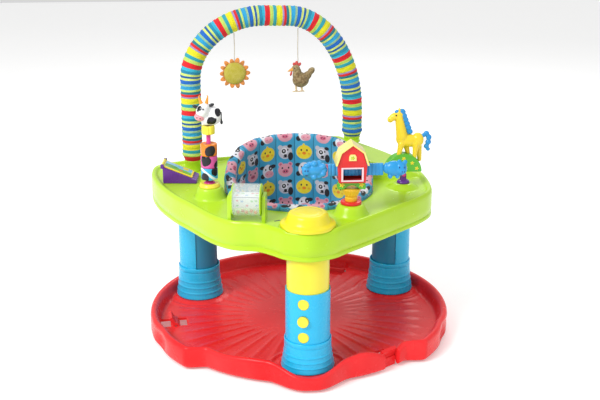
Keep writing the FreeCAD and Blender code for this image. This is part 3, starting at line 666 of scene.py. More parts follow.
DRUM_PLACE = Matrix.Translation((-0.125, -0.215, 0.390)) @ Matrix.Rotation(radians(-8.5), 4, "Z")
QUARTER = Matrix.Rotation(radians(90), 4, "Z")
EAR = [(-0.0232, -0.0455), (0.0232, -0.0455), (0.0222, -0.01)] + arc(0.022, 0, 180, 40)
EAR = [(x, min(z, 0.0128)) for x, z in EAR if abs(x) > 0.0165 or z < 0.0128] + [(-0.0222, -0.01)]
for side, label in ((-1, "left"), (1, "right")):
    x0, x1 = sorted((side * 0.0326, side * 0.0404))
    ear = slab(f"drum_ear_{label}", EAR, -x1, -x0, lime_paint, 0.0022, DRUM_PLACE @ QUARTER)
    keep(ear, None, "tray")


# ---------------------------------------------------------------- lemon cap over the front leg
# A domed moulded cap, snapped into the tray above the front leg: a flat brim, a step and a lid.
# A sprung button and two snap-in covers, of the same plastic, fill the leg's three height holes.
CAP_PROFILE = ((0.0586, 0.3501), (0.0590, 0.3508), (0.0590, 0.3558), (0.0585, 0.3570), (0.0570, 0.3580),
               (0.0540, 0.3592), (0.0505, 0.3604), (0.0486, 0.3615), (0.0474, 0.3634), (0.0448, 0.3690),
               (0.0428, 0.3744), (0.0418, 0.3768), (0.0400, 0.3788), (0.0370, 0.3802), (0.0330, 0.3808),
               (0.0312, 0.3804), (0.0300, 0.3804), (0.0284, 0.3811), (0.0200, 0.3822), (0.0080, 0.3828))
cap = weld(turned_piece("leg_cap_cover", CAP_PROFILE, CAP, lemon_paint, 160))
keep(cap, "leg_cap", "tray")

# The push button is round with a dished face, in the sleeve's middle hole.
BUTTON_AZIMUTH, BUTTON_Z, HOLE_PITCH = -106.0, 0.152, 0.038
button_profile = [(0.0118, 0.0490), (0.0122, 0.0494), (0.0122, 0.0528), (0.0118, 0.0540), (0.0108, 0.0545),
                  (0.0096, 0.0543), (0.0082, 0.0537), (0.0060, 0.0532), (0.0030, 0.0530)]
button = turned_piece("button_face", button_profile, (0, 0), lemon_paint, 64)
lie = Matrix.Rotation(radians(BUTTON_AZIMUTH), 4, "Z") @ Matrix.Rotation(radians(90), 4, "Y")
front = LEG_AXIS["front"]
button.data.transform(Matrix.Translation((front.x, front.y, BUTTON_Z)) @ lie)
keep(weld(button), "height_button", "height_button")

# The covers are bent to the sleeve's curve, so that they pass inside the foot cup.
SLEEVE_RADIUS = 0.0486
cover_profile = [(0.0119, 0.0462), (0.0121, 0.0465), (0.0121, 0.0477), (0.0118, 0.0484), (0.0108, 0.0487),
                 (0.0094, 0.0485), (0.0080, 0.0482), (0.0060, 0.0480), (0.0030, 0.0480)]
for step, label in ((-1, "lower"), (1, "upper")):
    cover = turned_piece(f"{label}_hole_cover", cover_profile, (0, 0), lemon_paint, 64)
    for vertex in cover.data.vertices:
        vertex.co.z -= SLEEVE_RADIUS - sqrt(SLEEVE_RADIUS ** 2 - vertex.co.y ** 2)
    cover.data.transform(Matrix.Translation((front.x, front.y, BUTTON_Z + HOLE_PITCH * step)) @ lie)
    keep(weld(cover), None, "sprung_sleeves")


# ---------------------------------------------------------------- turning seat with a printed cloth bag
# A padded cotton bag sewn in twenty upright panels, with a rolled edge, a raised back and two leg
# holes; it hangs on a plastic ring that turns on the tray. The print is rows of farm animals' heads.
PANELS, ROW = 20, 0.045
SEAT_SPOKES = 960


def seat_top(y):
    return 0.357 + 0.079 * smooth_step(y, -0.105, 0.168)


def cloth_loop(radius, height, puff=0.0, slack=0.0):
    """One round of the bag; puff lifts each panel between its two seams."""
    points = []
    for k in range(SEAT_SPOKES):
        azimuth = 2 * pi * k / SEAT_SPOKES
        panel = (k / SEAT_SPOKES * PANELS) % 1.0
        swell = 1 - abs(2 * panel - 1) ** 3
        r = radius + puff * swell + slack * sin(azimuth * 7 + height_of(height, 0.0) * 90)
        y = r * sin(azimuth)
        points.append(Vector((r * cos(azimuth), y, height_of(height, y))))
    return points


def height_of(height, y):
    return height(y) if callable(height) else height


def under_top(drop):
    return lambda y: seat_top(y) - drop


def between(low, share, drop=0.010):
    """A share of the way from a fixed height up to the sloping top edge."""
    return lambda y: low + (seat_top(y) - drop - low) * share


stations = [(0.030, 0.2506, 0, 0), (0.120, 0.2503, 0, 0), (0.148, 0.2506, 0, 0), (0.1538, 0.2530, 0, 0),
            (0.1556, 0.2580, -0.001, 0)]
stations += [(0.1556, 0.262 + 0.0070 * k, -0.0012, 0.0) for k in range(12)]
stations += [(0.1565, 0.3484, 0, 0), (0.1640, 0.3487, 0, 0), (0.1720, 0.3488, 0, 0), (0.1740, 0.3494, 0, 0)]
stations += [(0.1746, between(0.3500, share), -0.0016, 0.0003) for share in (0.06, 0.2, 0.4, 0.6, 0.8, 1.0)]
ROLLED = 10
for k in range(1, ROLLED):
    turn = pi * k / ROLLED
    stations.append((0.1623 + 0.0123 * cos(turn), under_top(0.0095 * (1 - sin(turn))), -0.0022, 0.0004))
stations += [(0.1502, between(0.3300, share), -0.0022, 0.0005) for share in (1.0, 0.8, 0.6, 0.4, 0.2, 0.0)]
stations += [(0.1500, 0.3250 - 0.0055 * k, -0.0024, 0.0006) for k in range(11)]
stations += [(0.1490, 0.2640, -0.001, 0), (0.1460, 0.2605, 0, 0), (0.1380, 0.2590, 0, 0),
             (0.1000, 0.2580, 0, 0), (0.0500, 0.2575, 0, 0)]
loops = [cloth_loop(*station) for station in stations]


def spot(x, y, cx, cy, rx, ry=None, blur=0.12):
    """1 inside an oval and 0 outside."""
    across, up = (x - cx) / rx, (y - cy) / (ry or rx)
    return (across * across + up * up).ramp(1 + blur, 1 - blur)


SKY, CHICK = (0.025, 0.370, 0.640), (0.90, 0.72, 0.03)
WHITE, BLACK = (0.80, 0.80, 0.86), (0.012, 0.012, 0.018)
PINK, DEEP_PINK, PALE = (0.74, 0.34, 0.42), (0.62, 0.12, 0.22), (0.58, 0.58, 0.66)
HEADS = {
    "chick": ((0, 0, 19.5, 18, CHICK), (1, 18, 3, 4.4, CHICK), (0, -3, 5, 3.8, (0.85, 0.25, 0.01)),
              (-7, 5, 2, 2.6, BLACK), (7, 5, 2, 2.6, BLACK), (-12, -4, 3, 2.4, (0.86, 0.48, 0.02)),
              (12, -4, 3, 2.4, (0.86, 0.48, 0.02))),
    "cow": ((-15, 12, 7, 5, BLACK), (15, 12, 7, 5, BLACK), (14, -11, 6, 6.5, BLACK),
            (0, 1, 14, 17.5, WHITE), (-8, 9, 5.5, 7, BLACK), (-4, -7, 12, 9, PINK),
            (-9, -7, 1.8, 1.5, DEEP_PINK), (1, -7, 1.8, 1.5, DEEP_PINK), (6, 6, 2, 2.6, BLACK),
            (-8, 8, 1.6, 2.0, WHITE)),
    "dog": ((0, 0, 17, 17, PALE), (-13, -11, 6.5, 10.5, BLACK), (-11, 15, 6, 4.6, BLACK),
            (13, 13, 6, 6, PALE), (3, 3, 8.5, 9, WHITE), (4, 3, 5.4, 5.6, BLACK), (4, 3.6, 2.0, 2.2, WHITE),
            (-6, 6, 2, 2.6, BLACK), (0, -8, 4.2, 3.2, BLACK), (0, -12, 6, 1.4, BLACK)),
    "pig": ((-12, 14, 6, 6, PINK), (12, 14, 6, 6, PINK), (-12, 14, 3.4, 3.6, DEEP_PINK),
            (12, 14, 3.4, 3.6, DEEP_PINK), (0, -1, 18.5, 17, PINK), (0, -4, 8, 5.6, DEEP_PINK),
            (-3, -4, 1.5, 2.2, BLACK), (3, -4, 1.5, 2.2, BLACK), (-8, 5, 2, 2.6, BLACK),
            (8, 5, 2, 2.6, BLACK)),
}


def printed_cloth(name, ground, panel_mm=46.8, row_mm=45.0):
    """Printed cotton: rows of heads, one to a panel, over a plain ground with a fine weave; painted shade
    darkens the seams.
    """
    paint = Paint(name, Sheen_Weight=0.15, Sheen_Roughness=0.4)
    u, v, _ = paint.xyz(source="UV")
    x = (u.math("FRACT") - 0.5) * panel_mm
    y = (0.5 - v.math("FRACT")) * row_mm
    odd_panel = u.math("FLOOR").math("MODULO", 2.0)
    odd_row = v.math("FLOOR").math("MODULO", 2.0)
    cloud = paint.noise(24.0, 3.0).ramp(0.25, 0.75)
    base = paint.mix(cloud, darker(ground, 0.12), lighter(ground, 0.04))
    drawn = {}
    for head, ovals in HEADS.items():
        colour = base
        for cx, cy, rx, ry, tint in ovals:
            colour = paint.mix(spot(x, y, cx, cy, rx, ry), colour, tint)
        drawn[head] = colour
    even = paint.mix(odd_row, drawn["chick"], drawn["cow"])
    odd = paint.mix(odd_row, drawn["dog"], drawn["pig"])
    # This mask darkens the colour at the panel edges: painted shade in the creases between the puffed
    # panels. The same mask also sinks the seams in the bump.
    seam_and_shade = x.math("ABSOLUTE").ramp(21.0, 23.4)
    pattern = paint.mix(odd_panel, even, odd)
    paint.set(Base_Color=paint.mix(seam_and_shade * 0.65, pattern, darker(ground, 0.7)))
    weave = (u * 420.0).math("SINE") * (v * 400.0).math("SINE")
    paint.set(Roughness=paint.noise(70.0) * 0.12 + 0.76)
    paint.relief(weave * 0.2 + paint.noise(160.0, 3.0) * 0.5 - seam_and_shade * 1.2, 0.0008)
    return paint


def lay_uv(piece, across, down):
    """Give a ring mesh its map: across turns round it, and down rises from row to row."""
    layer = piece.data.uv_layers.new(name="UVMap").data
    for face in piece.data.polygons:
        row, column = divmod(face.index, SEAT_SPOKES)
        for corner, index in enumerate(face.loop_indices):
            u = (column + (corner in (1, 2))) / SEAT_SPOKES * across
            step = min(row + (corner in (2, 3)), len(down) - 1)
            layer[index].uv = (u, down[step])


def rows_down(loops, column, unit):
    """How far each round of a ring mesh lies along its surface, in printed rows."""
    walked, rows = 0.0, [0.0]
    for a, b in zip(loops, loops[1:]):
        walked += (b[column] - a[column]).length
        rows.append(walked / unit)
    return rows


sky_cloth = printed_cloth("seat_cloth", SKY)
bag = ring_mesh("seat_bag", loops, sky_cloth)
lay_uv(bag, PANELS, rows_down(loops, SEAT_SPOKES // 4, ROW))
LEG_HOLE = ((0.062, -0.025), (-0.062, -0.025))


def peg(name, radius, low, high, centre, segments=96):
    """A round cutter."""
    return turned_piece(name, [(radius, low), (radius, high)], centre, None, segments)


carve(bag, [weld(peg("leg_hole_cut", 0.046, 0.20, 0.30, centre)) for centre in LEG_HOLE])
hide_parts("seat_fabric", "seat_back")
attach(bag, "seat")
BINDING_RADIUS, BINDING_Z = 0.0432, 0.2546
binding = [(BINDING_RADIUS + 0.0022 * cos(2 * pi * k / 12), BINDING_Z + 0.0050 * sin(2 * pi * k / 12))
           for k in range(12)]
for centre, label in zip(LEG_HOLE, ("right", "left")):
    piece = weld(turned_piece(f"{label}_leg_binding", binding, centre, sky_cloth, 96, closed=True))
    keep(piece, None, "seat")
ring_paint = moulded_plastic("seat_ring_blue", (0.05, 0.28, 0.62), gloss=0.36)
finish_node("seat_ring", ring_paint)


# ---------------------------------------------------------------- padded toy bar
# A bent plastic tube in a padded sleeve of striped plush, gathered along its length so that it
# ruffles. Each foot plugs into a moulded lime socket on the deck.
BAR_LEFT, BAR_RIGHT = Vector((-0.251, 0.170, 0.0)), Vector((0.149, 0.213, 0.0))
BAR_SPAN = (BAR_RIGHT - BAR_LEFT).length
ALONG_BAR = (BAR_RIGHT - BAR_LEFT).normalized()
ACROSS_BAR = Vector((ALONG_BAR.y, -ALONG_BAR.x, 0.0))
SOCKETS = {"left": (BAR_LEFT, 0.345, 0.372), "right": (BAR_RIGHT, 0.400, 0.414)}
LEFT_SHOULDER = (0.177, 0.570, 0.177, 0.152)
RIGHT_SHOULDER = (0.238, 0.480, 0.1643, 0.240)


def bar_point(along, z):
    return BAR_LEFT + ALONG_BAR * along + Vector((0.0, 0.0, z))


def bar_line():
    """The arch's centreline from its left foot to its right one."""
    points = [(0.0, 0.3725 + (0.570 - 0.3725) * k / 40) for k in range(40)]
    centre, z, half, high = LEFT_SHOULDER
    points += arc(half, 180, 90, 80, (centre, z), high / half)
    centre, z, half, high = RIGHT_SHOULDER
    points += arc(half, 90, 0, 100, (centre, z), high / half)
    points += [(BAR_SPAN, 0.480 + (0.4145 - 0.480) * k / 14) for k in range(1, 15)]
    return [bar_point(along, z) for along, z in points]


def evenly(points, gap):
    """The same line as points an even gap apart, and its length."""
    lengths = [(b - a).length for a, b in zip(points, points[1:])]
    total = sum(lengths)
    count, placed, walked, index = max(2, round(total / gap)), [], 0.0, 0
    for k in range(count + 1):
        target = min(total - 1e-9, total * k / count)
        while index < len(lengths) - 1 and walked + lengths[index] < target:
            walked += lengths[index]
            index += 1
        placed.append(points[index].lerp(points[index + 1], (target - walked) / lengths[index]))
    return placed, total


STRIPES = ((12, (0.72, 0.008, 0.014)), (8, (0.50, 0.68, 0.12)), (8, (0.02, 0.34, 0.42)),
           (14, (0.74, 0.70, 0.01)), (4, (0.34, 0.26, 0.50)), (6, (0.68, 0.010, 0.012)),
           (6, (0.006, 0.18, 0.24)), (5, (0.56, 0.72, 0.16)), (9, (0.02, 0.34, 0.62)),
           (5, (0.30, 0.52, 0.30)), (9, (0.004, 0.13, 0.52)), (5, (0.66, 0.76, 0.20)),
           (5, (0.006, 0.10, 0.34)), (5, (0.60, 0.74, 0.18)), (7, (0.01, 0.24, 0.40)),
           (7, (0.03, 0.44, 0.62)))


def striped_plush(name):
    """Short-pile striped plush: crosswise stripes repeat along the sleeve, over a nap of fine fibres."""
    paint = Paint(name, Sheen_Weight=0.06, Sheen_Roughness=0.5)
    along = paint.attribute("along")
    total = sum(width for width, colour in STRIPES) / 1000.0
    wander = (paint.noise(60.0, 3.0) - 0.5) * 0.0012
    stops = paint.node("ShaderNodeValToRGB")
    paint.feed(stops.inputs[0], ((along + wander) / total).math("FRACT"))
    ramp, walked = stops.color_ramp, 0.0
    ramp.interpolation = "CONSTANT"
    ramp.elements.remove(ramp.elements[1])
    for index, (width, colour) in enumerate(STRIPES):
        stop = ramp.elements[0] if index == 0 else ramp.elements.new(walked / total / 1000.0)
        stop.color = (*colour, 1.0)
        walked += width
    stripes = Value(paint, stops.outputs[0])
    nap = paint.noise(420.0, 3.0)
    paint.set(Base_Color=paint.mix(nap.ramp(0.3, 0.7) * 0.22, stripes, (0.02, 0.02, 0.03)),
              Roughness=nap * 0.1 + 0.82)
    return paint.relief(nap + paint.noise(120.0, 2.0) * 0.5, 0.0009)


def fold(s, turn):
    """Crosswise ruffles of the gathered sleeve, in metres out from its middle radius."""
    wobble = 0.9 * sin(3 * turn + s * 55) + 0.6 * sin(5 * turn - s * 31)
    coarse = 0.0006 * sin(2 * pi * s / 0.0115 + wobble)
    fine = 0.0003 * sin(2 * pi * s / 0.0047 + 1.4 * sin(2 * turn + s * 90))
    return coarse + fine


def add_attribute(piece, name, values):
    layer = piece.data.attributes.new(name, "FLOAT", "POINT")
    layer.data.foreach_set("value", values)


plush_paint = striped_plush("bar_plush")
line, sleeve_length = evenly(bar_line(), 0.0013)
ROUND = 72
loops, along_values = [], []
for index, centre in enumerate(line):
    ahead = (line[min(index + 1, len(line) - 1)] - line[max(index - 1, 0)]).normalized()
    outward = ahead.cross(ACROSS_BAR)
    s = sleeve_length * index / (len(line) - 1)
    end = min(s, sleeve_length - s)
    mouth = 0.0045 * (1 - smooth_step(end, 0.0, 0.012)) - 0.0012 * bell(end - 0.016, 0.004)
    loop = []
    for k in range(ROUND):
        turn = 2 * pi * k / ROUND
        radius = 0.0243 + fold(s, turn) * smooth_step(end, 0.0, 0.010) - mouth
        loop.append(centre + (ACROSS_BAR * cos(turn) + outward * sin(turn)) * radius)
    loops.append(loop)
    along_values += [s] * ROUND
sleeve = ring_mesh("bar_sleeve", loops, plush_paint)
add_attribute(sleeve, "along", along_values + [0.0, sleeve_length])
weld(sleeve)
keep(sleeve, "toy_bar_sleeve", "tray")
white_paint = moulded_plastic("panel_white", (0.80, 0.80, 0.82), gloss=0.3)
finish_node("toy_bar_tube", white_paint)
for side, (foot, low, high) in SOCKETS.items():
    profile = [(0.0208, low), (0.0210, low + 0.0015), (0.0205, low + 0.003), (0.0200, low + 0.005),
               (0.0197, high - 0.0035), (0.0203, high - 0.0028), (0.0206, high - 0.0012),
               (0.0200, high - 0.0002), (0.0120, high - 0.0002), (0.0112, high - 0.0008), (0.0111, low)]
    socket = weld(turned_piece(f"{side}_bar_socket", profile, foot, lime_paint, 96, closed=True))
    keep(socket, "bar_sockets", "tray")


# ---------------------------------------------------------------- hanging sun and hen
# Two soft toys hang from the bar on thin twisted cords: a stuffed felt sun with petals round it,
# and a plush hen. Each swings on its cord.
CORD_DIAMETER = 0.002


def hanging_cord(name, node, bow):
    """A limp cord that hangs down from the bar to its toy, with a slight bow sideways."""
    low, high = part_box(node)
    top = Vector(((low.x + high.x) / 2, (low.y + high.y) / 2, high.z))
    foot = Vector((top.x, top.y, low.z))
    curve = bpy.data.curves.new(name, "CURVE")
    curve.dimensions, curve.bevel_depth, curve.bevel_resolution = "3D", CORD_DIAMETER / 2, 4
    curve.use_fill_caps = True
    spline = curve.splines.new("NURBS")
    places = [top, top.lerp(foot, 0.2), top.lerp(foot, 0.5) + ALONG_BAR * bow, top.lerp(foot, 0.8), foot]
    spline.points.add(len(places) - 1)
    for point, place in zip(spline.points, places):
        point.co = (*place, 1.0)
    spline.order_u = 3
    spline.use_endpoint_u = True
    curve.materials.append(cord_paint.material)
    cord = bpy.data.objects.new(name, curve)
    scene.collection.objects.link(cord)
    return cord, top, foot


cord_paint = Paint("twisted_cord", Sheen_Weight=0.2)
x, y, z = cord_paint.xyz()
twist = (z * 4200.0 + x * 1500.0).math("SINE")
cord_paint.set(Base_Color=cord_paint.mix(twist.ramp(-0.6, 0.6), (0.50, 0.42, 0.30), (0.78, 0.72, 0.60)),
               Roughness=twist * 0.05 + 0.8)
cord_paint.relief(twist, 0.0003)
BAR_TURN = Matrix.Rotation(atan2(ALONG_BAR.y, ALONG_BAR.x), 4, "Z")
SUN_PLACE = Matrix.Translation(bar_point(0.108, 0.584)) @ BAR_TURN
HEN_PLACE = Matrix.Translation(bar_point(0.264, 0.570)) @ BAR_TURN


def felt(name, colour, fuzz=0.16):
    """Pressed wool felt: matted fibres and a soft sheen."""
    paint = Paint(name, Sheen_Weight=0.3, Sheen_Roughness=0.45)
    fibres = paint.noise(650.0, 4.0)
    patches = paint.noise(90.0, 3.0)
    paint.set(Base_Color=paint.mix((fibres * 0.6 + patches * 0.4).ramp(0.3, 0.7), darker(colour, fuzz),
                                   lighter(colour, fuzz * 0.6)), Roughness=fibres * 0.1 + 0.84)
    return paint.relief(fibres + patches * 0.6, 0.0008)


sun_paint, petal_paint = felt("sun_felt", (0.50, 0.42, 0.012)), felt("petal_felt", (0.74, 0.24, 0.012))
SUN_ROUND = 224
loops = []
CUSHION = ((0.004, 0.0086), (0.010, 0.0083), (0.015, 0.0077), (0.019, 0.0069), (0.0222, 0.0059),
           (0.0246, 0.0046), (0.0262, 0.0031), (0.0270, 0.0014))
for radius, y in [(r, -d) for r, d in CUSHION] + [(0.0272, 0.0)] + [(r, d) for r, d in reversed(CUSHION)]:
    loop = []
    for k in range(SUN_ROUND):
        turn = 2 * pi * k / SUN_ROUND
        r = radius * (1 + 0.012 * sin(3 * turn + 1) + 0.008 * sin(7 * turn))
        loop.append(Vector((r * cos(turn), y, r * sin(turn))))
    loops.append(loop)
sun = ring_mesh("sun_cushion", loops, sun_paint)
sun.data.transform(SUN_PLACE)
weld(sun)
loops = []
PETALS = 14
for radius_share, y in ((0.0, -0.0016), (0.5, -0.0019), (0.9, -0.0015), (1.0, 0.0), (0.9, 0.0015),
                        (0.5, 0.0019), (0.0, 0.0016)):
    loop = []
    for k in range(SUN_ROUND * 2):
        turn = 2 * pi * k / (SUN_ROUND * 2)
        reach = 0.0004 + 0.0112 * abs(cos(turn * PETALS / 2)) ** 0.8 * (1 + 0.10 * sin(turn * 5 + 2))
        r = 0.0262 + reach * radius_share
        curl = 0.0022 * radius_share * sin(turn * 9 + 1)
        loop.append(Vector((r * cos(turn), y + curl, r * sin(turn))))
    loops.append(loop)
petals = ring_mesh("sun_petal_ring", loops + loops[:1], petal_paint, False, False)
petals.data.transform(SUN_PLACE)
weld(petals)
sun_cord, top, foot = hanging_cord("sun_cord", "sun_string", 0.0006)
keep(sun, "sun_face", "sun")
keep(petals, "sun_petals", "sun")
keep(sun_cord, "sun_string", "sun")
(top - foot).length


def limb(start, end, r0, r1, count=8):
    """A row of balls that a figure's leg, neck or horn is made of."""
    start, end = Vector(start), Vector(end)
    return [(start.lerp(end, k / (count - 1)), (r0 + (r1 - r0) * k / (count - 1),) * 3, 0.0)
            for k in range(count)]


def figure(name, lumps, paint, voxel=0.0013, rounds=5, place=Matrix()):
    """An animal's body: many lumps (centre, radii, tilt) run together into one smooth skin."""
    shape = bmesh.new()
    for centre, radii, tilt in lumps:
        where = Matrix.Translation(centre) @ Matrix.Rotation(radians(tilt), 4, "Y")
        where = where @ Matrix.Diagonal((*radii, 1.0))
        bmesh.ops.create_icosphere(shape, subdivisions=3, radius=1.0, matrix=where)
    mesh = bpy.data.meshes.new(name)
    shape.to_mesh(mesh)
    shape.free()
    piece = bpy.data.objects.new(name, mesh)
    scene.collection.objects.link(piece)
    skin = piece.modifiers.new("skin", "REMESH")
    skin.mode, skin.voxel_size, skin.use_smooth_shade = "VOXEL", voxel, True
    relax = piece.modifiers.new("relax", "SMOOTH")
    relax.factor, relax.iterations = 0.5, rounds
    settle(piece)
    piece.data.transform(place)
    piece.data.materials.clear()
    piece.data.materials.append(paint.material)
    return piece


def mm(*values):
    return Vector(values) / 1000.0


def balls(*rows):
    """Lumps given in millimetres: x, y, z, then three radii and a tilt in degrees."""
    return [(mm(*row[:3]), tuple(mm(*row[3:6])), row[6] if len(row) > 6 else 0.0) for row in rows]


hen_paint = felt("hen_plush", (0.27, 0.19, 0.08), 0.35)
fleck = hen_paint.noise(230.0, 3.0).ramp(0.42, 0.60)
feather = hen_paint.noise(55.0, 2.0).ramp(0.40, 0.60)
dark_down = hen_paint.mix(fleck, (0.17, 0.11, 0.045), (0.30, 0.21, 0.10))
light_down = hen_paint.mix(fleck, (0.24, 0.17, 0.07), (0.38, 0.29, 0.15))
hen_paint.set(Base_Color=hen_paint.mix(feather, dark_down, light_down))
hen = figure("hen_body", balls((7, 0, -8, 21, 13, 19), (-2, 0, 6, 11, 10, 17, 12),
                               (-5, 0, 20, 10.5, 8.8, 10.5), (23, 0, 2, 10, 8, 13, 48),
                               (33, 0, 13, 8, 5.8, 11, 42), (9, -11, -8, 13, 4, 10, 15),
                               (9, 11, -8, 13, 4, 10, 15)), hen_paint, place=HEN_PLACE)
comb_paint = felt("comb_felt", (0.62, 0.03, 0.02))
comb = figure("hen_comb", balls((-9, 0, 31, 4.0, 2.4, 5, -35), (-3, 0, 33.5, 4.0, 2.6, 6.2, -5),
                                (4, 0, 30.5, 3.8, 2.4, 5.4, 35), (-17, 0, 8, 2.8, 2.2, 6.5, 20)),
              comb_paint, 0.0008, 2, HEN_PLACE)
beak_paint = felt("beak_felt", (0.80, 0.33, 0.03))
beak = figure("hen_beak", limb(mm(-12, 0, 19), mm(-25, 0, 14), 0.0052, 0.0012), beak_paint, 0.0007, 1,
              HEN_PLACE)
leg_paint = felt("leg_felt", (0.74, 0.56, 0.34))
legs = []
for x in (-5, 9):
    legs += limb(mm(x, 0, -22), mm(x + 1, 0, -35), 0.0030, 0.0026, 12)
    legs += limb(mm(x + 2, 0, -36), mm(x - 8, -1, -37), 0.0021, 0.0016, 8)
    legs += limb(mm(x + 2, 0, -36), mm(x + 7, 1, -37), 0.0021, 0.0015, 6)
hen_legs = figure("hen_legs", legs, leg_paint, 0.0008, 1, HEN_PLACE)
eye_paint = moulded_plastic("black_bead", (0.008, 0.008, 0.010), gloss=0.16)
eyes = figure("hen_eyes", balls((-9, -7.6, 22, 1.6, 1.3, 1.6), (-9, 7.6, 22, 1.6, 1.3, 1.6)), eye_paint,
              0.0004, 0, HEN_PLACE)
hen_cord, top, foot = hanging_cord("hen_cord", "hen_string", -0.0006)
for piece in (hen, comb, beak, hen_legs, eyes):
    keep(piece, "hen_figure", "hen")
keep(hen_cord, "hen_string", "hen")
(top - foot).length


# ---------------------------------------------------------------- turning totem and cow
# A post screwed to its mound, with three rollers that turn one by one and a cow on a collar on top.
# The rollers are printed with patches; the cow is one hollow moulding, painted.
tx, ty, tz = TOTEM
foot_profile = [(0.0236, tz - 0.0005), (0.0240, tz + 0.001), (0.0236, tz + 0.0032), (0.0226, tz + 0.0042),
                (0.0220, tz + 0.0060), (0.0212, tz + 0.0076), (0.0180, tz + 0.0080), (0.0120, tz + 0.0080)]
totem_foot = turned_piece("totem_foot", foot_profile, TOTEM, lemon_paint, 96)
keep(weld(totem_foot), "totem_base", "tray")
magenta_paint = moulded_plastic("magenta", (0.62, 0.03, 0.24), gloss=0.24)
post_profile = [(0.0130, tz + 0.0080), (0.0128, tz + 0.0092), (0.0095, tz + 0.0110), (0.0072, tz + 0.0140),
                (0.0060, tz + 0.0166), (0.0050, tz + 0.0170), (0.0050, tz + 0.1360), (0.0046, tz + 0.1368)]
totem_post = turned_piece("totem_post", post_profile, TOTEM, magenta_paint, 96)
keep(weld(totem_post), "totem_shaft", "tray")


def patched(name, ground, patch, spots, band=None, gloss=0.22):
    """Printed plastic: a ground colour with large dark patches placed one by one."""
    paint = moulded_plastic(name, ground, gloss)
    x, y, z = paint.xyz()
    warp = (paint.noise(55.0, 2.0) - 0.5) * 0.010
    mask = None
    for cx, cy, cz, r in spots:
        dx, dy, dz = x - cx, y - cy, z - cz
        near = (dx * dx + dy * dy + dz * dz).math("SQRT") + warp
        one = near.ramp(r + 0.0006, r - 0.0006)
        mask = one if mask is None else mask.either(one)
    cloud = paint.noise(9.0, 3.0).ramp(0.3, 0.7)
    colour = paint.mix(cloud, darker(ground, 0.05), ground)
    if band:
        tint, slope, offset, width = band
        stripe = (z + x * slope + offset).math("ABSOLUTE").ramp(width, width - 0.0008)
        colour = paint.mix(stripe, colour, tint)
    paint.set(Base_Color=paint.mix(mask, colour, patch))
    return paint


ROLLERS = (
    ("low", "roller_blue", (0.05, 0.42, 0.70),
     [(tx - 0.012, ty - 0.016, tz + 0.024, 0.012), (tx + 0.014, ty - 0.012, tz + 0.038, 0.011),
      (tx, ty + 0.018, tz + 0.030, 0.013)],
     ((0.75, 0.82, 0.88), 0.8, -tz - 0.030 - 0.8 * tx, 0.004)),
    ("middle", "roller_pink", (0.70, 0.10, 0.38),
     [(tx - 0.008, ty - 0.017, tz + 0.064, 0.013), (tx + 0.018, ty - 0.008, tz + 0.052, 0.010),
      (tx, ty + 0.018, tz + 0.058, 0.012)], None),
    ("top", "roller_orange", (0.84, 0.24, 0.02),
     [(tx + 0.004, ty - 0.018, tz + 0.087, 0.013), (tx - 0.018, ty + 0.006, tz + 0.092, 0.010),
      (tx + 0.012, ty + 0.016, tz + 0.084, 0.011)], None),
)
for name, finish, ground, spots, band in ROLLERS:
    paint = patched(finish, ground, BLACK, spots, band)
    low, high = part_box(f"totem_{name}_roller")
    profile = [(0.00506, low.z), (0.0165, low.z), (0.0180, low.z + 0.0006), (0.0187, low.z + 0.0020)]
    profile += [(0.0187 + 0.0003 * sin(pi * k / 12), low.z + 0.0020 + (high.z - low.z - 0.0040) * k / 12)
                for k in range(1, 12)]
    profile += [(0.0187, high.z - 0.0020), (0.0180, high.z - 0.0006), (0.0165, high.z), (0.00506, high.z)]
    roller = weld(turned_piece(f"{name}_roller_skin", profile, TOTEM, paint, 128, closed=True))
    keep(roller, f"totem_{name}_roller", f"{name}_roller")

low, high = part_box("cow_collar")
collar_loops = []
COLLAR_ROUND = 144
for radius, z in ((0.0052, low.z), (0.0135, low.z), (0.0146, low.z + 0.0008), (0.0150, low.z + 0.0022),
                  (0.0149, low.z + 0.0080), (0.0148, high.z - 0.0022), (0.0142, high.z - 0.0006),
                  (0.0130, high.z), (0.0052, high.z)):
    loop = []
    for k in range(COLLAR_ROUND):
        turn = 2 * pi * k / COLLAR_ROUND
        groove = 0.0014 * sum(bell(off_degrees(360.0 * k / COLLAR_ROUND, at), 5)
                              for at in (-80, 10, 100, 190))
        r = radius - (groove if radius > 0.012 else 0.0)
        loop.append(Vector((tx + r * cos(turn), ty + r * sin(turn), z)))
    collar_loops.append(loop)
collar = weld(ring_mesh("cow_neck_ring", collar_loops + collar_loops[:1], lemon_paint, False, False))
keep(collar, "cow_collar", "cow")
COW_PLACE = Matrix.Translation((tx, ty, high.z))
cow_paint = patched("cow_white", (0.82, 0.82, 0.84), BLACK,
                    [(tx + 0.026, ty - 0.010, high.z + 0.034, 0.011),
                     (tx + 0.008, ty - 0.012, high.z + 0.012, 0.010),
                     (tx + 0.022, ty + 0.014, high.z + 0.020, 0.012),
                     (tx - 0.020, ty - 0.018, high.z + 0.045, 0.007),
                     (tx + 0.002, ty + 0.012, high.z + 0.044, 0.010)])
cow = figure("cow_body", balls((11, 2, 19, 19, 15, 19), (17, 2, 30, 12, 12, 12), (-2, 0, 14, 15, 13, 14),
                               (-12, -6, 34, 14, 13, 17, 22), (-7, -4, 44, 12, 11, 9, 15),
                               (8, 4, 34, 12, 11, 10)),
             cow_paint, place=COW_PLACE)
muzzle_paint = moulded_plastic("muzzle_pink", (0.80, 0.32, 0.36), gloss=0.24)
muzzle = figure("cow_muzzle", balls((-19, -9, 21, 11.5, 10, 8.5, 22)), muzzle_paint, 0.0009, 1, COW_PLACE)
horn_paint = moulded_plastic("horn_orange", (0.84, 0.30, 0.02), gloss=0.22)
horn_lumps = limb(mm(-14, -5, 52), mm(-19, -5, 66), 0.0042, 0.0016)
horn_lumps += limb(mm(-2, -4, 52), mm(1, -4, 67), 0.0042, 0.0016)
horn_lumps += limb(mm(-19, -5, 66), mm(-17, -5, 70), 0.0016, 0.0010, 4)
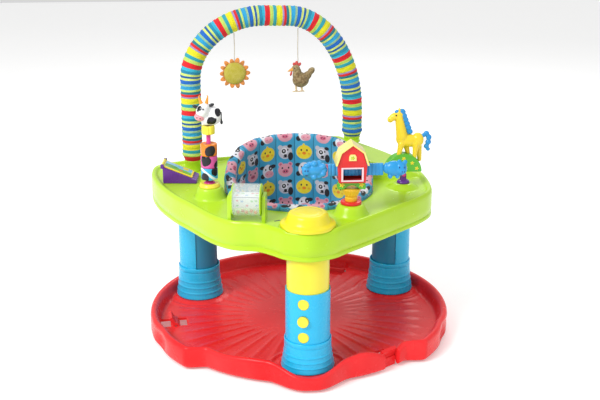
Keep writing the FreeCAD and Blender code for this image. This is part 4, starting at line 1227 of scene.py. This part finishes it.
horn_lumps += limb(mm(1, -4, 67), mm(-1, -4, 70), 0.0016, 0.0010, 4)
horns = figure("cow_horns", horn_lumps, horn_paint, 0.0008, 1, COW_PLACE)
ears = figure("cow_ears", balls((-27, -5, 44, 7.5, 3, 4, 25), (8, -4, 47, 7.5, 3, 4, -20)) +
              limb(mm(29, 2, 28), mm(30, 2, 8), 0.0022, 0.0018, 14) + balls((30, 2, 6, 3.2, 3, 5)),
              moulded_plastic("cow_black", BLACK, gloss=0.24), 0.0008, 1, COW_PLACE)
cow_eyes = figure("cow_eyes", balls((-22, -18.4, 38, 1.8, 1.2, 2.4), (-10, -18.8, 41, 1.8, 1.2, 2.4),
                                    (-24, -18.4, 22, 1.2, 1.0, 1.6), (-17, -19.2, 20, 1.2, 1.0, 1.6)),
                  eye_paint, 0.0004, 0, COW_PLACE)
for piece in (cow, muzzle, horns, ears, cow_eyes):
    keep(piece, "cow_figure", "cow")


# ---------------------------------------------------------------- barn with a sliding bar
# A red gambrel barn on a flowered arch over a sheaf, with a cream roof. It is moulded in one, and a
# ribbed blue bar with a sheep and a pig on its ends slides through it.
bx, by, bz = BARN
BARN_PLACE = Matrix.Translation(BARN)


def mm_outline(*points):
    return [(x / 1000.0, z / 1000.0) for x, z in points]


BARN_RED = (0.72, 0.014, 0.014)
barn_paint = moulded_plastic("barn_red", BARN_RED, gloss=0.24)
ring_profile = [(0.0224, bz - 0.0005), (0.0230, bz + 0.0008), (0.0230, bz + 0.0042), (0.0222, bz + 0.0056),
                (0.0206, bz + 0.0060), (0.0130, bz + 0.0060)]
foot_ring = turned_piece("barn_foot_ring", ring_profile, BARN, barn_paint, 96)
keep(weld(foot_ring), "barn_ring", "tray")

straw_paint = moulded_plastic("straw", (0.84, 0.50, 0.02), gloss=0.28)
SHEAF_ROUND, SHEAF_STEPS = 180, 28
loops = []
for step in range(SHEAF_STEPS + 1):
    share = step / SHEAF_STEPS
    waist = 0.0125 + 0.0085 * share ** 1.6 - 0.0012 * bell(share - 0.38, 0.07)
    loop = []
    for k in range(SHEAF_ROUND):
        turn = 2 * pi * k / SHEAF_ROUND
        straw = 0.0011 * abs(sin(turn * 9 + 0.5 * sin(share * 5))) * (1 - 0.9 * bell(share - 0.38, 0.05))
        r = waist + straw - 0.0008
        loop.append(Vector((bx + r * cos(turn), by + r * sin(turn), bz + 0.006 + 0.028 * share)))
    loops.append(loop)
keep(weld(ring_mesh("barn_straw_sheaf", loops, straw_paint)), "barn_sheaf", "tray")

grass_paint = moulded_plastic("grass_green", (0.10, 0.46, 0.02), gloss=0.26)
ARCH = mm_outline((-30, 34), (-17, 34), (-13, 38), (-6, 42), (0, 43), (6, 42), (13, 38), (17, 34), (30, 34),
                  (31, 38), (30.5, 44), (27, 49), (22, 51), (-22, 51), (-27, 49), (-30.5, 44), (-31, 38))
green_arch = slab("barn_green_arch", ARCH, -0.010, 0.010, grass_paint, 0.0016, BARN_PLACE)
keep(green_arch, "barn_arch", "tray")


def flower_shape(name, radius, thick=0.0012):
    """A five-petalled flower that faces up, a few dozen faces."""
    loops = []
    for share, z in ((1.0, 0.0), (1.0, 0.5), (0.86, 1.0), (0.36, 0.75)):
        loops.append([Vector((radius * share * (0.74 + 0.26 * cos(5 * t)) * cos(t),
                              radius * share * (0.74 + 0.26 * cos(5 * t)) * sin(t), thick * z))
                      for t in (2 * pi * k / 30 for k in range(30))])
    piece = weld(ring_mesh(name, loops, None))
    return piece


def repeat_tree():
    """Geometry nodes: set a copy of one shape on each point of a piece, turned by its stored angles."""
    tree = bpy.data.node_groups.new("set_on_points", "GeometryNodeTree")
    tree.interface.new_socket("Points", in_out="INPUT", socket_type="NodeSocketGeometry")
    for name, kind in (("Shape", "NodeSocketObject"), ("Size", "NodeSocketFloat"),
                       ("Finish", "NodeSocketMaterial")):
        tree.interface.new_socket(name, in_out="INPUT", socket_type=kind)
    tree.interface.new_socket("Result", in_out="OUTPUT", socket_type="NodeSocketGeometry")
    start, end = tree.nodes.new("NodeGroupInput"), tree.nodes.new("NodeGroupOutput")
    info = tree.nodes.new("GeometryNodeObjectInfo")
    angles = tree.nodes.new("GeometryNodeInputNamedAttribute")
    angles.data_type = "FLOAT_VECTOR"
    angles.inputs["Name"].default_value = "angles"
    place = tree.nodes.new("GeometryNodeInstanceOnPoints")
    real = tree.nodes.new("GeometryNodeRealizeInstances")
    finish = tree.nodes.new("GeometryNodeSetMaterial")
    for a, b in ((start.outputs["Points"], place.inputs["Points"]),
                 (start.outputs["Shape"], info.inputs["Object"]),
                 (info.outputs["Geometry"], place.inputs["Instance"]),
                 (angles.outputs["Attribute"], place.inputs["Rotation"]),
                 (start.outputs["Size"], place.inputs["Scale"]),
                 (place.outputs["Instances"], real.inputs["Geometry"]),
                 (real.outputs["Geometry"], finish.inputs["Geometry"]),
                 (start.outputs["Finish"], finish.inputs["Material"]),
                 (finish.outputs["Geometry"], end.inputs["Result"])):
        tree.links.new(a, b)
    return tree


SET_ON_POINTS = repeat_tree()


def repeated(name, shape, places, angles, paint, size=1.0):
    """One mesh of a shape repeated at places, each turned by its own angles."""
    mesh = bpy.data.meshes.new(name)
    mesh.from_pydata([tuple(place) for place in places], [], [])
    stored = mesh.attributes.new("angles", "FLOAT_VECTOR", "POINT")
    stored.data.foreach_set("vector", [part for angle in angles for part in angle])
    piece = bpy.data.objects.new(name, mesh)
    scene.collection.objects.link(piece)
    setter = piece.modifiers.new("set", "NODES")
    setter.node_group = SET_ON_POINTS
    inputs = {item.name: item.identifier for item in SET_ON_POINTS.interface.items_tree
              if item.in_out == "INPUT"}
    setter[inputs["Shape"]], setter[inputs["Size"]], setter[inputs["Finish"]] = shape, size, paint.material
    piece.update_tag()
    settle(piece)
    for polygon in piece.data.polygons:
        polygon.use_smooth = True
    return piece


FACE_FRONT = (radians(90), 0.0, 0.0)
flower = flower_shape("flower_shape", 0.0064)
arch_flowers = repeated("arch_flowers", flower, [Vector(BARN) + mm(x, -9.6, 44.5) for x in (-21, 21)],
                        [FACE_FRONT] * 2, lemon_paint)
keep(arch_flowers, "barn_arch", "tray")
centres = repeated("arch_flower_centres", flower, [Vector(BARN) + mm(x, -10.6, 44.5) for x in (-21, 21)],
                   [FACE_FRONT] * 2, straw_paint, 0.34)
keep(centres, "barn_arch", "tray")

HOUSE = mm_outline((-29, 51), (29, 51), (31.8, 88), (23, 117), (0, 134), (-23, 117), (-31.8, 88))
house = slab("barn_walls", HOUSE, -0.020, 0.020, barn_paint, 0.0014, BARN_PLACE)
HOLLOW = mm_outline((-26, 54), (26, 54), (28.6, 88), (20.6, 114.5), (0, 130), (-20.6, 114.5), (-28.6, 88))
hollow = slab("hollow_cut", HOLLOW, -0.017, 0.017, None, 0, BARN_PLACE)
window = block("window_cut", (bx - 0.020, by - 0.040, bz + 0.058), (bx + 0.020, by, bz + 0.083))
slot_cut = block("slot_cut", (bx - 0.050, by - 0.0044, bz + 0.0621), (bx + 0.050, by + 0.0044, bz + 0.0899))
carve(house, [hollow, window, slot_cut])
plank_paint = moulded_plastic("barn_planks", BARN_RED, gloss=0.24)
x, y, z = plank_paint.xyz()
groove = ((x * 880.0).math("SINE").math("ABSOLUTE")).ramp(0.18, 0.0) * (z.ramp(bz + 0.100, bz + 0.098))
plank_paint.relief(groove * -1.0 + plank_paint.noise(300.0) * 0.05, 0.0008)
house.data.materials.clear()
house.data.materials.append(plank_paint.material)
keep(house, "barn_house", "tray")

cream_paint = moulded_plastic("cream", (0.86, 0.74, 0.22), gloss=0.26)
ROOF = mm_outline((-36, 90), (-32.3, 90), (-23.3, 117.4), (0, 134.4), (23.3, 117.4), (32.3, 90), (36, 90),
                  (36.2, 91.5), (27, 119.6), (0, 138.4), (-27, 119.6), (-36.2, 91.5))
roof = slab("barn_roof_boards", ROOF, -0.024, 0.024, cream_paint, 0.0010, BARN_PLACE)
keep(roof, "barn_roof", "tray")
frame_paint = moulded_plastic("window_frame", (0.84, 0.62, 0.68), gloss=0.26)
FRAME_SIDES = (((-24, 55), (24, 55), (24, 58), (-24, 58)), ((-24, 83), (24, 83), (24, 86), (-24, 86)),
               ((-24, 57), (-20, 57), (-20, 84), (-24, 84)), ((20, 57), (24, 57), (24, 84), (20, 84)))
for index, side in enumerate(FRAME_SIDES):
    rail = slab(f"window_rail_{index}", mm_outline(*side), -0.0222, -0.0196, frame_paint, 0.0006, BARN_PLACE)
    keep(rail, "barn_trim", "tray")
LOFT = mm_outline((-8, 101), (8, 101), (8, 110), (5, 115), (-5, 115), (-8, 110))
loft = slab("loft_plate", LOFT, -0.0222, -0.0196, cream_paint, 0.0006, BARN_PLACE)
keep(loft, "barn_trim", "tray")
dot_shape = flower_shape("dot_shape", 0.0042, 0.0008)
for name, paint, size, y in (("loft_ring", grass_paint, 1.0, -22.0),
                             ("loft_flower", lemon_paint, 0.6, -22.6)):
    piece = repeated(name, dot_shape, [Vector(BARN) + mm(0, y, 107.5)], [FACE_FRONT], paint, size)
    keep(piece, "barn_trim", "tray")

slider_paint = moulded_plastic("slider_blue", (0.02, 0.30, 0.66), gloss=0.24)
BAR_X0, BAR_X1, BAR_Z0, BAR_Z1 = -0.0505, 0.0685, 0.0626, 0.0894
BAR_STEPS, RIB_PITCH = 238, 0.0085
loops = []
for k in range(BAR_STEPS + 1):
    x = BAR_X0 + (BAR_X1 - BAR_X0) * k / BAR_STEPS
    half = 0.0040 - 0.0013 * (0.5 + 0.5 * cos(2 * pi * x / RIB_PITCH)) ** 2
    edge_line = [(-half, BAR_Z0 + 0.0020), (-half, BAR_Z0 + 0.0120), (-half, BAR_Z1 - 0.0020),
                 (-half + 0.0010, BAR_Z1 - 0.0004), (-half + 0.0022, BAR_Z1),
                 (half - 0.0022, BAR_Z1), (half - 0.0010, BAR_Z1 - 0.0004),
                 (half, BAR_Z1 - 0.0020), (half, BAR_Z0 + 0.0120), (half, BAR_Z0 + 0.0020),
                 (half - 0.0010, BAR_Z0 + 0.0004), (half - 0.0022, BAR_Z0),
                 (-half + 0.0022, BAR_Z0), (-half + 0.0010, BAR_Z0 + 0.0004)]
    loops.append([Vector((bx + x, by + y, bz + z)) for y, z in edge_line])
keep(weld(ring_mesh("slider_rail", loops, slider_paint)), "slider_bar", "barn_slider")
random.seed(7)
wool = [(-78 + 21 * cos(t) * 0.9, random.uniform(-5, 5), 77 + 15 * sin(t), 7.5, 8.5, 7.0)
        for t in (2 * pi * k / 11 for k in range(11))]
sheep = figure("slider_sheep_body", balls((-79, 0, 77, 21, 12.5, 15), *wool, (-98, -4, 75, 9.5, 8.5, 13),
                                          (-96, -5, 88, 8, 7, 5), (-103, -4, 84, 7, 3, 3, -30),
                                          (-87, -4, 84, 6, 3, 3, 30)),
               slider_paint, 0.0011, 3, BARN_PLACE)
keep(sheep, "slider_sheep", "barn_slider")
pig = figure("slider_pig_body", balls((92, 0, 77, 21, 12.5, 17), (106, -3, 77, 14, 11.5, 15.5),
                                      (103, -4, 92, 5, 3, 6, -20), (115, -4, 91, 5, 3, 6, 20),
                                      (84, 0, 60, 5, 9, 6), (100, 0, 60, 5, 9, 6),
                                      (110, -12.5, 73, 7.5, 3.5, 5.5), (76, 0, 78, 8, 8, 12)), slider_paint,
             0.0011, 3, BARN_PLACE)
keep(pig, "slider_pig", "barn_slider")
dark_blue = moulded_plastic("slider_dark", (0.008, 0.06, 0.22), gloss=0.26)
features = figure("slider_features", balls((-101, -12.0, 78, 1.5, 1.2, 2.0),
                                           (-95, -12.2, 78, 1.5, 1.2, 2.0), (-98, -11.8, 68, 3.2, 1.6, 1.6),
                                           (102, -13.2, 82, 1.5, 1.2, 2.0), (113, -12.8, 82, 1.5, 1.2, 2.0),
                                           (107.5, -15.6, 73, 1.2, 1.2, 2.0),
                                           (112.5, -15.6, 73, 1.2, 1.2, 2.0)),
                  dark_blue, 0.0004, 0, BARN_PLACE)
keep(features, "slider_pig", "barn_slider")


# ---------------------------------------------------------------- rocking horse on a hill
# A yellow moulded horse with a blue mane and tail, fixed to a green hill that rocks on a steel pin
# in a purple foot.
HORSE_PLACE = Matrix.Translation(HORSE)
purple_paint = moulded_plastic("purple", (0.115, 0.016, 0.270), gloss=0.28)
foot_profile = [(0.0146, HORSE[2] - 0.0005), (0.0150, HORSE[2] + 0.0008), (0.0148, HORSE[2] + 0.0026),
                (0.0132, HORSE[2] + 0.0052), (0.0120, HORSE[2] + 0.0060), (0.0040, HORSE[2] + 0.0060)]
keep(weld(turned_piece("horse_foot", foot_profile, HORSE, purple_paint, 96)), "horse_base", "tray")
CHEEK = mm_outline((-7, 4.5), (7, 4.5), (6, 14), (6, 21))
CHEEK += [(0.006 * cos(radians(a)), 0.021 + 0.005 * sin(radians(a))) for a in range(15, 180, 15)]
CHEEK += mm_outline((-6, 21), (-6, 14))
for label, y0, y1 in (("front", -0.0099, -0.0046), ("back", 0.0046, 0.0099)):
    cheek = slab(f"horse_{label}_cheek", CHEEK, y0, y1, purple_paint, 0.0008, HORSE_PLACE)
    keep(cheek, "horse_base", "tray")
boss_profile = [(0.0044, 0.0), (0.0046, 0.0006), (0.0042, 0.0016), (0.0030, 0.0022), (0.0012, 0.0024)]
pivot_boss = turned_piece("horse_pivot_boss", boss_profile, (0, 0), magenta_paint, 48)
pivot_boss.data.transform(Matrix.Translation(Vector(HORSE) + mm(0, -10.2, 21))
                          @ Matrix.Rotation(radians(90), 4, "X"))
keep(weld(pivot_boss), "horse_base", "tray")

HILL = [(-0.002 + x, 0.029 + z) for x, z in arc(0.043, 0, 180, 64)]
hill = slab("horse_green_hill", HILL, -0.0129, 0.0129, grass_paint, 0.0030, HORSE_PLACE, segments=4)
keep(hill, "horse_hill", "rocking_horse")
lug = slab("hill_lug", mm_outline((-5, 17), (-3, 16), (3, 16), (5, 17), (5, 30), (-5, 30)), -0.0041, 0.0041,
           grass_paint, 0.0008, HORSE_PLACE)
keep(lug, "horse_hill", "rocking_horse")
FLOWERS = ((-30, 37), (-14, 48), (3, 38), (18, 50), (29, 37), (-2, 61))
places = [Vector(HORSE) + mm(x, -12.8, z) for x, z in FLOWERS]
turns = [(radians(90), 0.3 * k, 0.0) for k in range(len(FLOWERS))]
flowers = repeated("hill_flowers", flower, places, turns, lemon_paint, 0.8)
keep(flowers, "horse_hill", "rocking_horse")
hearts = repeated("hill_flower_centres", flower, [place + mm(0, -0.8, 0) for place in places],
                  [FACE_FRONT] * len(FLOWERS), straw_paint, 0.3)
keep(hearts, "horse_hill", "rocking_horse")

horse_paint = moulded_plastic("horse_yellow", (0.90, 0.66, 0.03), gloss=0.24)
legs = []
for x0, x1, z1 in ((-8, -13, 70), (4, 10, 70), (26, 24, 64), (35, 38, 54)):
    side = -6 if x0 in (-8, 26) else 6
    legs += limb(mm(x0, side, 94), mm(x1, side, z1), 0.0078, 0.0052, 10)
horse = figure("horse_body", balls((10, 0, 101, 26, 12.5, 15.5), (-6, 0, 106, 14, 12, 16),
                                   (31, 0, 103, 14.5, 13, 17), (-24, 0, 159, 15, 8.2, 9, -24),
                                   (-34, 0, 152, 7.5, 7, 7.5), (-14, 0, 163, 10, 8, 9),
                                   (-14, -3.5, 173, 2.6, 2.2, 6, 10), (-14, 3.5, 173, 2.6, 2.2, 6, 10))
               + legs + limb(mm(-6, 0, 112), mm(-14, 0, 156), 0.0135, 0.0095, 10), horse_paint,
               place=HORSE_PLACE)
keep(horse, "horse_figure", "rocking_horse")
mane_paint = moulded_plastic("mane_blue", (0.02, 0.28, 0.66), gloss=0.28)
mane = [row for k in range(6) for row in balls((-7 + 3.6 * k, 0, 170 - 9.4 * k, 8.4, 5.8, 7.0, 20))]
mane += balls((-19, 0, 170, 6, 4.6, 4.6, -20))
tail = balls((44, 0, 113, 6, 4.6, 5), (51, 0, 117, 7, 5.6, 7), (57, 0, 108, 6.6, 6, 7.4),
             (56, 0, 97, 7, 6, 7), (52, 0, 87, 6.4, 5.4, 6), (56, 0, 80, 5, 4.4, 4.4))
mane_piece = figure("horse_mane_and_tail", mane + tail, mane_paint, 0.0010, 1, HORSE_PLACE)
keep(mane_piece, "horse_figure", "rocking_horse")
horse_eyes = figure("horse_eyes", balls((-22, -7.8, 163, 1.7, 1.2, 2.2), (-22, 7.8, 163, 1.7, 1.2, 2.2),
                                        (-37, -5.4, 153, 1.0, 1.0, 1.2)),
                    eye_paint, 0.0004, 0, HORSE_PLACE)
keep(horse_eyes, "horse_figure", "rocking_horse")


# ---------------------------------------------------------------- see-through drum
# A clear cylinder between two lime ends, spinning on a steel axle, with three printed panels and
# loose orange beads inside.
clear_paint = Paint("clear_drum", Base_Color=(0.90, 0.96, 0.98), IOR=1.49, Alpha=0.22)
clear_paint.relief(clear_paint.noise(30.0), 0.0002)
clear_paint.set(Roughness=clear_paint.noise(60.0) * 0.06 + 0.04)
clear_paint.material.surface_render_method = "BLENDED"
finish_node("drum_shell", clear_paint)
LIE_ALONG = DRUM_PLACE @ Matrix.Rotation(radians(90), 4, "Y")
cap_face = [(0.0034, 0.0), (0.0050, 0.0), (0.0060, 0.0006), (0.0140, 0.0006), (0.0150, 0.0), (0.0290, 0.0),
            (0.0300, 0.0005), (0.0338, 0.0005), (0.0348, 0.0012), (0.0350, 0.0022), (0.0350, 0.0029),
            (0.0034, 0.0029)]
for side, label in ((-1, "left"), (1, "right")):
    profile = [(r, side * (0.032 - depth)) for r, depth in cap_face]
    end_cap = turned_piece(f"drum_end_{label}", profile, (0, 0), lime_paint, 128, closed=True)
    end_cap.data.transform(LIE_ALONG)
    keep(weld(end_cap), "drum_caps", "drum")
dot_colours = (("red", (0.70, 0.02, 0.03)), ("green", (0.12, 0.52, 0.03)), ("blue", (0.02, 0.24, 0.66)))
dot_paints = {name: moulded_plastic(f"dot_{name}", colour, gloss=0.3) for name, colour in dot_colours}
dot = flower_shape("round_dot", 0.0040, 0.0005)
sites = {name: ([], []) for name in dot_paints}
PANEL = mm_outline((-28.8, 10), (28.8, 10), (28.8, 11.5), (-28.8, 11.5))
for side in range(3):
    tilt = DRUM_PLACE @ Matrix.Rotation(radians(120 * side), 4, "X")
    panel = slab(f"drum_panel_{side}", PANEL, -0.016, 0.016, white_paint, 0.0004, tilt)
    keep(panel, "drum_core", "drum")
    for index, (x, y) in enumerate(((-21, -8), (-10, 6), (0, -7), (11, 7), (21, -6), (-20, 8), (20, 8))):
        name = dot_colours[(index + side) % 3][0]
        sites[name][0].append(tilt @ mm(x, y, 11.4))
        sites[name][1].append(tuple(tilt.to_euler()))
for name, (places, angles) in sites.items():
    keep(repeated(f"drum_dots_{name}", dot, places, angles, dot_paints[name]), "drum_core",
         "drum")
hub_profile = [(0.0034, -0.0288), (0.0060, -0.0288), (0.0060, 0.0288), (0.0034, 0.0288)]
hub = turned_piece("drum_hub", hub_profile, (0, 0), white_paint, 64, closed=True)
hub.data.transform(LIE_ALONG)
keep(weld(hub), "drum_core", "drum")
bead_paint = moulded_plastic("bead_orange", (0.84, 0.22, 0.02), gloss=0.2)
finish_node("drum_beads", bead_paint)


# ---------------------------------------------------------------- picture book
# A moulded purple wedge, fixed to the deck, with one stiff page printed green inside a yellow
# frame. The page's lemon barrel turns on a pin between two lugs on the wedge's high edge.
BOOK_PLACE = Matrix.Translation((-0.317, 0.088, 0.345)) @ Matrix.Rotation(radians(-5), 4, "Z")
HINGE_PLACE = BOOK_PLACE @ Matrix.Translation((-0.001, 0.0, 0.044))
PAGE_PLACE = HINGE_PLACE @ Matrix.Rotation(atan2(0.032, 0.080), 4, "Y")
LIE_ACROSS = HINGE_PLACE @ Matrix.Rotation(radians(90), 4, "X")
WEDGE = mm_outline((0, 0.2), (80, 0.2), (80, 8), (0, 40))
wedge = slab("book_wedge", WEDGE, -0.030, 0.030, purple_paint, 0.0016, BOOK_PLACE)
keep(wedge, "book_stand", "tray")
LUG = mm_outline((0, 30), (3, 34), (3, 45), (1.5, 47), (-3.5, 47), (-5, 45), (-5, 36.5), (0, 36))
for label, y0 in (("near", -0.030), ("far", 0.026)):
    lug = slab(f"book_{label}_lug", LUG, y0, y0 + 0.004, purple_paint, 0.0006, BOOK_PLACE)
    keep(lug, "book_stand", "tray")
page_paint = Paint("book_page_print", Coat_Weight=0.3, Coat_Roughness=0.2)
across, up, _ = page_paint.xyz(source="UV")
cloud = page_paint.noise(40.0, 3.0)
meadow = page_paint.mix(cloud, (0.10, 0.42, 0.03), (0.20, 0.58, 0.05))
printed = page_paint.mix(up.ramp(0.44, 0.46), meadow, (0.20, 0.52, 0.80))
for shape, tint in (((0.25, 0.42, 0.26, 0.18), (0.06, 0.32, 0.03)),
                    ((0.72, 0.74, 0.11, 0.14), (0.90, 0.70, 0.04)),
                    ((0.60, 0.26, 0.07, 0.09), (0.78, 0.10, 0.10))):
    printed = page_paint.mix(spot(across, up, *shape), printed, tint)
rim_mask = (across - 0.5).math("ABSOLUTE").ramp(0.435, 0.445)
rim_mask = rim_mask.either((up - 0.5).math("ABSOLUTE").ramp(0.41, 0.42))
page_paint.set(Base_Color=page_paint.mix(rim_mask, printed, (0.88, 0.66, 0.03)),
               Roughness=cloud * 0.1 + 0.28)
page_paint.relief(rim_mask + cloud * 0.1, 0.0006)
PAGE = mm_outline((0.5, -3), (76, -3), (76, 0), (0.5, 0))
page = slab("book_picture_page", PAGE, -0.0254, 0.0254, page_paint, 0.0008)
page_map = page.data.uv_layers.new(name="UVMap").data
for loop in page.data.loops:
    place = page.data.vertices[loop.vertex_index].co
    page_map[loop.index].uv = ((place.x - 0.0005) / 0.0755, (place.y + 0.0254) / 0.0508)
page.data.transform(PAGE_PLACE)
keep(page, "book_page", "book_page")
barrel_profile = [(0.0016, -0.0254), (0.0026, -0.0254), (0.0030, -0.0250), (0.0030, -0.0090),
                  (0.0027, -0.0086), (0.0030, -0.0082), (0.0030, 0.0082), (0.0027, 0.0086),
                  (0.0030, 0.0090), (0.0030, 0.0250), (0.0026, 0.0254), (0.0016, 0.0254)]
barrel = turned_piece("page_barrel", barrel_profile, (0, 0), lemon_paint, 48, closed=True)
barrel.data.transform(LIE_ACROSS)
keep(weld(barrel), "book_page", "book_page")
pin_profile = [(0.0014, -0.0296), (0.0015, -0.0290), (0.0015, 0.0290), (0.0014, 0.0296)]
hinge_pin = turned_piece("book_hinge_pin", pin_profile, (0, 0), purple_paint, 32)
hinge_pin.data.transform(LIE_ACROSS)
keep(weld(hinge_pin), "book_stand", "tray")

for shape in (flower, dot_shape, dot):         # the shapes that were only copied from
    bpy.data.objects.remove(shape)
